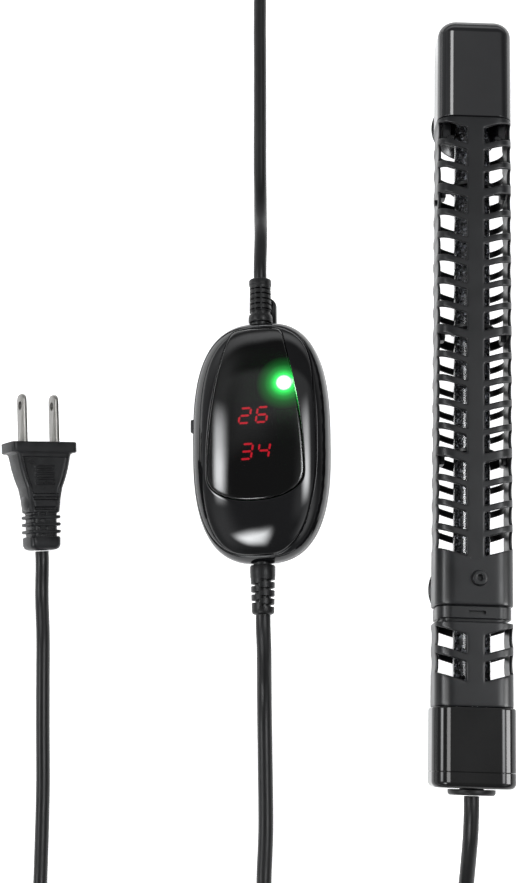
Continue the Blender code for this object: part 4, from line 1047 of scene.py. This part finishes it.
def make_lamp_glow(place):
    """The lamp's light on the underside of the window, as a thin disc that follows the dome."""
    lamp = local_points("status_led", place)
    at = (lamp.min(0) + lamp.max(0)) / 2 + np.array((1.3, -1.2, 0.0))
    sides = 64
    radii = np.linspace(0.03, 1.0, 24) ** 1.3 * LAMP_REACH
    angles = 2 * np.pi * np.arange(sides) / sides
    edge = star_radius(lens_outline(), angles)
    under = LENS_RAISE - LENS_THICK - 0.15
    rings = []
    for level, order in ((under - 0.04, radii), (under, radii[::-1])):
        for radius in order:
            u = at[0] + radius * np.cos(angles)
            v = at[1] + radius * np.sin(angles)
            away = np.hypot(u, v - LENS_MID_V)
            turns = np.arctan2(v - LENS_MID_V, u)
            limit = np.interp(turns, angles, edge, period=2 * np.pi) - 0.8
            pull = np.minimum(1.0, limit / np.maximum(away, 0.01))
            u, v = u * pull, LENS_MID_V + (v - LENS_MID_V) * pull
            rings.append(np.column_stack((u, v, dome(u, v, DOME_H) + level)))
    disc = loft("lamp_diffuser", rings, GLOW, None, None, place=place, sharp=180.0)
    centre = place @ (Vector((at[0], at[1], float(dome(at[0], at[1], DOME_H)) + under)) * MM)
    disc.data.transform(Matrix.Translation(-centre))
    disc.location = centre
    enrol(disc, "heater")


def make_button(place):
    local = local_points("set_button", place)
    middle, half = (local.min(0) + local.max(0)) / 2, (local.max(0) - local.min(0)) / 2
    block("button_cap", middle, half, 0.45, BUTTON, "button", "button_plastic", ("set_button",), place)


def make_controller(place):
    make_front_shell(place)
    make_lens(place)
    make_back_shell(place)
    make_reliefs(place)
    make_digits(place)
    make_lamp_glow(place)
    make_button(place)


# ---- plug -------------------------------------------------------------------
FACE_HALF = (13.0, 6.2)
PLUG_LONG = 40.0
TAIL_PITCH = 2.7                # from one rib of the tail to the next
# Place along the plug, half width and half depth, over the cheeks.
BODY_STATIONS = ((-4.0, 11.4, 6.0), (-4.6, 10.75, 5.75), (-6.0, 10.4, 5.7), (-10.0, 9.6, 5.6),
                 (-14.0, 8.4, 5.5), (-17.0, 7.25, 5.35), (-21.0, 6.5, 5.1), (-24.5, 6.15, 4.95),
                 (-26.0, 6.0, 4.9))


def grip_relief(u, v, half_u):
    """How far the plug's broad faces stand out or in, at this place."""
    edge = 0.25
    side = 1 - smooth_step(np.abs(u), half_u - 1.7 - edge, half_u - 1.7)
    panel = smooth_step(-v, 5.6, 5.6 + edge) * (1 - smooth_step(-v, 25.0, 25.0 + edge))
    height = -0.75 * side * panel
    for k in range(6):
        at = 9.2 + k * 1.3
        rib = 1 - smooth_step(np.abs(-v - at), 0.16, 0.42)
        height = height + 0.5 * rib * (1 - smooth_step(np.abs(u), 3.3, 3.7))
    for at, half in ((19.9, 0.45), (22.9, 1.15)):
        bar = 1 - smooth_step(np.abs(-v - at), half, half + 0.35)
        height = height + 0.95 * bar * side
    return height


def plug_ring(v, half_u, half_w, radius, carved=False):
    """Section of the plug: a rounded rectangle with close points across its broad faces."""
    across = np.linspace(-1.0, 1.0, 41)
    flat = half_u - radius
    ring = []
    for side in (1, -1):
        u = side * -across * flat
        w = np.full(len(u), side * half_w)
        if carved:
            w = w + side * grip_relief(u, v, half_u)
        ring += [(a, v, b) for a, b in zip(u, w)]
        start = 90 if side > 0 else 270
        for k in range(1, 16):
            turn = math.radians(start + 90 * k / 8)
            middle = (side if k < 8 else -side) * (half_w - radius)
            ring.append((-side * flat + radius * math.cos(turn), v, middle + radius * math.sin(turn)))
    return ring


def make_plug(place):
    half_u, half_w = FACE_HALF
    rings = [plug_ring(-0.35, 3.0, 1.0, 0.5)]
    for v, in_u, in_w, radius in ((0.0, 0.5, 0.5, 1.4), (-0.15, 0.12, 0.12, 1.6), (-0.5, 0.0, 0.0, 1.7),
                                  (-3.5, 0.0, 0.0, 1.7), (-3.85, 0.12, 0.12, 1.6), (-4.0, 0.5, 0.4, 1.5)):
        rings.append(plug_ring(v, half_u - in_u, half_w - in_w, radius))
    at, wide, deep = np.array(BODY_STATIONS).T
    for v in np.arange(-4.0, -26.01, -0.14):
        rings.append(plug_ring(v, np.interp(-v, -at, wide), np.interp(-v, -at, deep), 1.9, True))
    rings.append(plug_ring(-26.3, 5.3, 4.4, 1.9))
    core_u, core_w = 5.1, 4.2
    for rib in range(3):
        start = -27.2 - rib * TAIL_PITCH
        for back, grow in ((0.0, 0.0), (0.05, 1.0), (0.3, 1.25), (0.95, 1.25), (1.2, 1.0), (1.25, 0.0)):
            rings.append(plug_ring(start - back, core_u + grow, core_w + grow * 0.6, 1.9))
    for v, grow in ((-35.0, 0.0), (-35.05, 0.6), (-35.5, 0.95), (-38.2, 0.9), (-39.3, 0.5), (-39.85, -0.3),
                    (-PLUG_LONG, -1.2)):
        rings.append(plug_ring(v, core_u + grow, core_w + grow, 2.0))
    loft("plug_moulding", rings, PLUG_VINYL, "heater", "relief_rubber", ("plug_body",), sharp=44.0,
         place=place)
    make_plug_trim(place)
    make_blades(place)


def make_plug_trim(place):
    """Bridges between the tail's ribs, and the thumb stops at the ends of the cheeks."""
    points, faces = [], []
    for rib in range(4):
        at = -26.8 - rib * TAIL_PITCH
        shift = 2.0 * (rib % 2)
        for u in (-2.6 + shift, 0.6 - shift):
            for w in (4.2, -4.2):
                rings = block_rings((u, at, w), (0.6, 0.95, 0.55), 0.3)
                first = len(points)
                faces += [[first + i for i in face] for face in loft_faces(len(rings), len(rings[0]))]
                points += sum(rings, [])
    bridges = mesh_piece("tail_bridges", points, faces, PLUG_VINYL, "heater", "relief_rubber", place=place)
    even_normals(bridges)
    for side in (-1, 1):
        rings = []
        for k in range(13):
            turn = math.radians(-90 + 15 * k)
            reach = max(math.cos(turn), 0.04)
            rings.append([(side * 5.3 + 1.75 * reach * math.cos(t), -22.3 + 3.7 * math.sin(turn),
                           4.6 * reach * math.sin(t)) for t in np.linspace(0, 2 * math.pi, 33)[:-1]])
        loft(f"thumb_stop_{'left' if side < 0 else 'right'}", rings, PLUG_VINYL, "heater", "relief_rubber",
             place=place)


def make_blades(place):
    for side in ("left", "right"):
        local = local_points(f"blade_{side}", place)
        low, high = local.min(0), local.max(0)
        centre, thick = (low[0] + high[0]) / 2, (high[0] - low[0]) / 2
        tip, wide = high[1], (high[2] - low[2]) / 2
        chamfer, edge = 1.5, 0.22
        outline = [(low[1], -wide), (tip - chamfer, -wide), (tip, -wide + chamfer), (tip, wide - chamfer),
                   (tip - chamfer, wide), (low[1], wide)]
        outline = eased(outline, 0.9, 5, True)
        rings = []
        for inset, u in ((edge, -thick), (0.06, -thick + 0.1), (0.0, -thick + edge), (0.0, thick - edge),
                         (0.06, thick - 0.1), (edge, thick)):
            ring = []
            for v, w in outline:
                ring.append((centre + u, v - math.copysign(inset, v - 5.0), w * (1 - inset / wide)))
            rings.append(ring)
        blade = loft(f"blade_plate_{side}", rings, NICKEL, "heater", "nickel", (f"blade_{side}",),
                     place=place)
        hole = [[(u, tip - 4.3 + a, b) for a, b in circle(1.6, 40)] for u in (centre - 2, centre + 2)]
        carve(blade, loft("blade_hole", hole, NICKEL, None, None, place=place))


# ---- cords ------------------------------------------------------------------

def smooth_points(route, spacing, lowest):
    """Even points along a smooth curve through the route's points."""
    pts = [Vector(p) for p in route]
    ends = [pts[0] * 2 - pts[1]] + pts + [pts[-1] * 2 - pts[-2]]
    dense = []
    for i in range(1, len(ends) - 2):
        a, b, c, d = ends[i - 1:i + 3]
        for k in range(12):
            t = k / 12
            dense.append(0.5 * (2 * b + (c - a) * t + (2 * a - 5 * b + 4 * c - d) * t ** 2
                                + (3 * b - a - 3 * c + d) * t ** 3))
    dense.append(pts[-1])
    for p in dense:
        p.z = max(p.z, lowest)
    line = np.array(dense)
    walked = np.concatenate([[0], np.cumsum(np.linalg.norm(np.diff(line, axis=0), axis=1))])
    at = np.linspace(0, walked[-1], max(2, round(walked[-1] / spacing)) + 1)
    return np.stack([np.interp(at, walked, line[:, k]) for k in range(3)], axis=1)


def coil_route(centre, thick, columns, turns_down, clockwise):
    """Turns wound inwards on the surface, then outwards on top of them, a diameter apart."""
    outer = (COIL_DIAMETERS + columns - 1) * thick / 2
    per_turn = 24
    points = []
    for k in range(round((2 * turns_down + 0.5) * per_turn) + 1):
        turn = k / per_turn
        if turn <= turns_down:
            layers_in = min(turn, columns - 1)
        else:
            layers_in = columns - 1 - min(turn - turns_down, columns - 1)
        radius = outer - thick * layers_in
        height = thick * (0.5 + float(smooth_step(turn, turns_down - 0.35, turns_down + 0.35)))
        angle = 2 * math.pi * turn * (-1 if clockwise else 1) + (0.0 if clockwise else math.pi)
        points.append((centre[0] + radius * math.cos(angle), centre[1] + radius * math.sin(angle), height))
    return points


def cord_curve(name, points, thick, replaced):
    curve = bpy.data.curves.new(name, "CURVE")
    curve.dimensions = "3D"
    spline = curve.splines.new("POLY")
    spline.points.add(len(points) - 1)
    for point, at in zip(spline.points, points):
        point.co = (*(float(c) * MM for c in at), 1.0)
    curve.bevel_depth = thick / 2 * MM
    curve.bevel_resolution = 6
    curve.use_fill_caps = True
    curve.materials.append(CORD_VINYL)
    piece = bpy.data.objects.new(name, curve)
    bpy.context.scene.collection.objects.link(piece)
    return enrol(piece, "heater", replaced)


def cord_tie(name, centre, turn, thick, columns, layers):
    """A soft strap round the coil's bundle."""
    middle = COIL_DIAMETERS * thick / 2
    wide, high = columns * thick / 2 + 0.25, layers * thick / 2 + 0.15
    place = Matrix.Translation(Vector((*centre, 0.0)) * MM) @ Matrix.Rotation(turn, 4, "Z")
    inner = rounded_rect(wide, high, 2.2, 6)
    outer = rounded_rect(wide + 0.8, high + 0.75, 2.9, 6)

    def ring(outline, along):
        return [(middle + p, along, max(high - 0.15 + q, 0.02)) for p, q in outline]

    rings = [ring(inner, -4.0), ring(outer, -3.8), ring(outer, 3.8), ring(inner, 4.0)]
    return loft(name, rings, SILICONE, "heater", "silicone", ring_like=True, place=place)


def on_axis(place, v):
    """A point on the long axis of a part that has a frame of its own."""
    return tuple(place @ (Vector((0.0, v, 0.0)) * MM) / MM)


def make_heater_cord(controller):
    thick = HEATER_CORD_D
    floor, on_coil = thick / 2, 1.5 * thick
    centre = (-(COIL_DIAMETERS / 2 + 1) * thick, HEATER_COIL_Y)
    start = box_mm("cable_gland")[0].y - GAP
    relief_end = local_points("heater_strain_relief", controller)[:, 1].min() - GAP
    end, near_end = on_axis(controller, relief_end), on_axis(controller, relief_end - 5)
    first = ((0.0, start, AXIS_Z), (0.0, start - 5, AXIS_Z), (0.0, start - 14, AXIS_Z - 2.6),
             (0.0, start - 23, 12.4), (0.0, start - 32, 6.8), (0.0, start - 41, floor + 0.9),
             (0.0, start - 50, floor), (0.0, HEATER_COIL_Y + 10.0, floor))
    coil = coil_route(centre, thick, 3, 3, True)
    left = 2 * centre[0]
    last = ((left, HEATER_COIL_Y + 10.0, on_coil), (left, HEATER_COIL_Y + 24.8, on_coil),
            (left, HEATER_COIL_Y + 36.8, floor + 2.4), (left, HEATER_COIL_Y + 48.8, floor),
            (-71.4, -160.0, floor), (-72.2, -140.0, floor), (-73.0, -122.0, floor + 0.2),
            (-73.5, -110.0, floor + 2.6), (-74.0, -98.0, end[2] - 3.0), near_end, end)
    points = np.concatenate((smooth_points(first, 3.0, floor), coil, smooth_points(last, 3.0, floor)))
    cord = cord_curve("heater_cord", points, thick, ("heater_cord_a", "heater_cord_coil", "heater_cord_b"))
    tie = cord_tie("heater_cord_tie", centre, math.radians(205), thick, 3, 2)


def make_mains_cord(controller, plug):
    thick = MAINS_CORD_D
    floor, on_coil = thick / 2, 1.5 * thick
    reach = (COIL_DIAMETERS / 2 + 0.5) * thick
    coil_x, coil_y = MAINS_COIL_AT
    relief_end = local_points("mains_strain_relief", controller)[:, 1].max() + GAP
    start, near_start = on_axis(controller, relief_end), on_axis(controller, relief_end + 5)
    plug_end = local_points("plug_body", plug)[:, 1].min() - GAP
    end, near_end = on_axis(plug, plug_end), on_axis(plug, plug_end - 5)
    first = (start, near_start, (-80.1, 61.0, start[2] - 3.2), (-80.5, 71.0, floor + 3.4),
             (-80.9, 82.0, floor + 0.5), (-81.4, 94.0, floor), (-82.2, 120.0, floor), (-83.2, 150.0, floor),
             (-84.4, 176.0, floor), (-89.0, 196.0, floor), (-103.0, 213.0, floor), (-124.0, 221.0, floor),
             (-150.0, 221.0, floor), (-174.0, 215.0, floor), (-192.0, 200.0, floor), (-201.0, 178.0, floor),
             (-203.5, 140.0, floor), (-204.5, 90.0, floor), (-205.5, 30.0, floor), (-207.0, -40.0, floor),
             (-208.5, -110.0, floor), (-210.5, -165.0, floor), (coil_x - reach, coil_y + 10.0, floor))
    coil = coil_route(MAINS_COIL_AT, thick, 2, 1.5, False)
    right = coil_x + reach
    last = ((right, coil_y + 10.0, on_coil), (right, coil_y + 22.3, on_coil),
            (right, coil_y + 33.3, floor + 2.2), (right - 0.2, coil_y + 44.3, floor),
            (-152.2, -150.0, floor), (-153.6, -128.0, floor), (-154.8, -108.0, floor),
            (-155.5, -94.0, floor + 1.0), (-156.3, -80.0, floor + 4.6), near_end, end)
    points = np.concatenate((smooth_points(first, 3.0, floor), coil, smooth_points(last, 3.0, floor)))
    cord = cord_curve("mains_cord", points, thick, ("mains_cord_a", "mains_cord_coil", "mains_cord_b"))
    tie = cord_tie("mains_cord_tie", MAINS_COIL_AT, math.radians(-60), thick, 2, 2)


# ---- CAD nodes that stay ----------------------------------------------------
KEPT = {"ceramic_core": CERAMIC, "heating_wire": STEEL, "tube_seal": SILICONE, "o_ring": SILICONE,
        "potting_block": EPOXY, "lead_live": RED_WIRE, "lead_neutral": WHITE_WIRE, "thermal_fuse": STEEL,
        "temp_sensor": COMPONENT, "circuit_board": BOARD, "display_upper": COMPONENT,
        "display_lower": COMPONENT, "status_led": LAMP, "relay": BLUE, "transformer": COMPONENT,
        "capacitor": COMPONENT, "fuse": CERAMIC, "tact_switch": COMPONENT}


def dress_kept_nodes():
    for name, finish in KEPT.items():
        node = nodes[name]
        node.data.materials.clear()
        node.data.materials.append(finish)


# ---- studio -----------------------------------------------------------------

def make_floor():
    made, tree, shader = new_material("floor_sweep", (0.85, 0.85, 0.86), 0.6)
    soft = noise_node(tree, 60.0, 2.0)
    tint = ramp_node(tree, soft.outputs["Fac"], ((0.3, grey(0.84)), (0.7, grey(0.88))))
    tree.links.new(tint.outputs["Color"], shader.inputs["Base Color"])
    shader.inputs["Emission Color"].default_value = (1.0, 1.0, 1.0, 1.0)
    shader.inputs["Emission Strength"].default_value = 0.72
    mesh = bpy.data.meshes.new("floor")
    half = 3.0
    corners = [(-half, -half, 0), (half, -half, 0), (half, half, 0), (-half, half, 0)]
    mesh.from_pydata(corners, [], [(0, 1, 2, 3)])
    mesh.materials.append(made)
    floor = bpy.data.objects.new("floor", mesh)
    bpy.context.scene.collection.objects.link(floor)


def math_node(tree, operation, first, second=None):
    node = tree.nodes.new("ShaderNodeMath")
    node.operation = operation
    for socket, value in zip(node.inputs, (first, second)):
        if value is None:
            continue
        if isinstance(value, (int, float)):
            socket.default_value = value
        else:
            tree.links.new(value, socket)
    return node.outputs["Value"]


def dot_with(tree, direction, axis):
    node = tree.nodes.new("ShaderNodeVectorMath")
    node.operation = "DOT_PRODUCT"
    tree.links.new(direction, node.inputs[0])
    node.inputs[1].default_value = axis
    return node.outputs["Value"]


def soft_edge(tree, value, soft):
    """1 inside, 0 outside of value = 1, eased over soft to each side."""
    node = tree.nodes.new("ShaderNodeMapRange")
    node.interpolation_type = "SMOOTHSTEP"
    tree.links.new(value, node.inputs["Value"])
    node.inputs["From Min"].default_value = 1.0 - soft
    node.inputs["From Max"].default_value = 1.0 + soft
    node.inputs["To Min"].default_value = 1.0
    node.inputs["To Max"].default_value = 0.0
    return node.outputs["Result"]


def sky_patch(tree, direction, azimuth, elevation, wide, high, level, soft=0.5, lean=0.0, taper=0.0):
    """A soft box in the sky: half angles wide and high, leaning, and narrower at its top."""
    az, el, turn = math.radians(azimuth), math.radians(elevation), math.radians(lean)
    middle = Vector((math.cos(el) * math.cos(az), math.cos(el) * math.sin(az), math.sin(el)))
    level_axis = Vector((math.sin(az), -math.cos(az), 0.0))
    rise = level_axis.cross(middle)
    across = level_axis * math.cos(turn) + rise * math.sin(turn)
    up = rise * math.cos(turn) - level_axis * math.sin(turn)
    p = math_node(tree, "ABSOLUTE", dot_with(tree, direction, across / math.sin(math.radians(wide))))
    q = dot_with(tree, direction, up / math.sin(math.radians(high)))
    if taper:
        p = math_node(tree, "ADD", p, math_node(tree, "MULTIPLY", math_node(tree, "ADD", q, 1.0), taper / 2))
    side = soft_edge(tree, p, soft)
    height = soft_edge(tree, math_node(tree, "ABSOLUTE", q), soft)
    ahead = math_node(tree, "GREATER_THAN", dot_with(tree, direction, middle), 0.0)
    share = math_node(tree, "MULTIPLY", math_node(tree, "MULTIPLY", side, height), ahead)
    return math_node(tree, "MULTIPLY", share, level)


# Soft boxes: azimuth from +X, elevation, half width, half height, level, softness, lean, taper.
SOFT_BOXES = (
    (90.0, 67.0, 38.0, 8.5, 0.48, 0.30, 0.0, 0.0),        # above the far end, fills the flats
    (-10.0, 68.0, 14.0, 14.0, 0.40, 0.6, 0.0, 0.0),
    (174.0, 36.0, 7.0, 6.5, 17.0, 0.85, 0.0, 0.0),        # streak on the window's left
    (152.0, 34.0, 14.0, 8.0, 0.4, 0.8, 0.0, 0.0),
    (-155.0, 30.0, 24.0, 14.0, 0.55, 0.7, 0.0, 0.0),      # lifts the case's lower left
    (13.0, 63.0, 9.0, 7.0, 15.0, 0.85, 0.0, 0.0),         # streak on the case's right
    (-30.0, 40.0, 20.0, 14.0, 1.3, 0.8, 0.0, 0.0),
    (-129.0, 47.5, 9.0, 9.0, 22.0, 0.7, 0.0, 0.9),        # glint on the case's lower end
    (95.0, 22.0, 40.0, 8.0, 1.5, 0.7, 0.0, 0.0),          # rims that face the far end
)


def make_world():
    world = bpy.data.worlds.new("studio")
    bpy.context.scene.world = world
    world.use_nodes = True
    tree = world.node_tree
    direction = tree.nodes.new("ShaderNodeTexCoord").outputs["Generated"]
    split = tree.nodes.new("ShaderNodeSeparateXYZ")
    tree.links.new(direction, split.inputs["Vector"])
    base = ramp_node(tree, split.outputs["Z"], (
        (0.0, grey(0.60)), (0.10, grey(0.30)), (0.34, grey(0.14)), (0.62, grey(0.16)), (0.85, grey(0.18)),
        (1.0, grey(0.18))))
    total = base.outputs["Color"]
    for box in SOFT_BOXES:
        total = math_node(tree, "ADD", sky_patch(tree, direction, *box), total)
    tree.links.new(total, tree.nodes["Background"].inputs["Strength"])
    tree.nodes["Background"].inputs["Color"].default_value = (0.97, 0.985, 1.0, 1.0)


def strip_light(name, at, aim, size, radiance, pieces):
    """A strip that lights only these pieces; its power follows from how bright it looks."""
    data = bpy.data.lights.new(name, "AREA")
    data.shape = "RECTANGLE"
    data.size, data.size_y = size
    data.energy = radiance * math.pi * size[0] * size[1]
    light = bpy.data.objects.new(name, data)
    bpy.context.scene.collection.objects.link(light)
    light.location = at
    light.rotation_mode = "QUATERNION"
    light.rotation_quaternion = (Vector(at) - Vector(aim)).to_track_quat("Z", "Y")
    light.visible_camera = False
    lit = bpy.data.collections.new(name)
    for piece in pieces:
        lit.objects.link(bpy.data.objects[piece])
    light.light_linking.receiver_collection = lit


def make_lights():
    """Three strips whose reflections run down the heater's rounded edges."""
    glossy_base, satin = ("base_shell", "end_plate_shell"), (
        "collar_ring", "lower_cage_shell", "guard_shell", "guard_boss")
    above_collar = (0.0, -0.13, 0.03)
    strip_light("heater_strip", (-0.17, 0.18, 0.93), (-0.17, 0.18, 0.0), (0.34, 1.10), 10.0,
                ("cap_moulding",) + glossy_base)
    strip_light("right_strip", (0.62, -0.17, 0.39), above_collar, (0.22, 0.36), 18.0, glossy_base + satin)
    strip_light("left_strip", (-0.52, -0.16, 0.78), above_collar, (0.11, 0.50), 20.0, satin)
    view = bpy.context.scene.view_settings
    view.view_transform = "Standard"
    view.look = "None"


make_camera()
controller = controller_frame()
plug = plug_frame()
make_guard()
make_top_cap()
make_lower_heater()
make_tube_group()
make_suction_cups()
make_controller(controller)
make_plug(plug)
make_heater_cord(controller)
make_mains_cord(controller, plug)
dress_kept_nodes()
make_floor()
make_world()
make_lights()
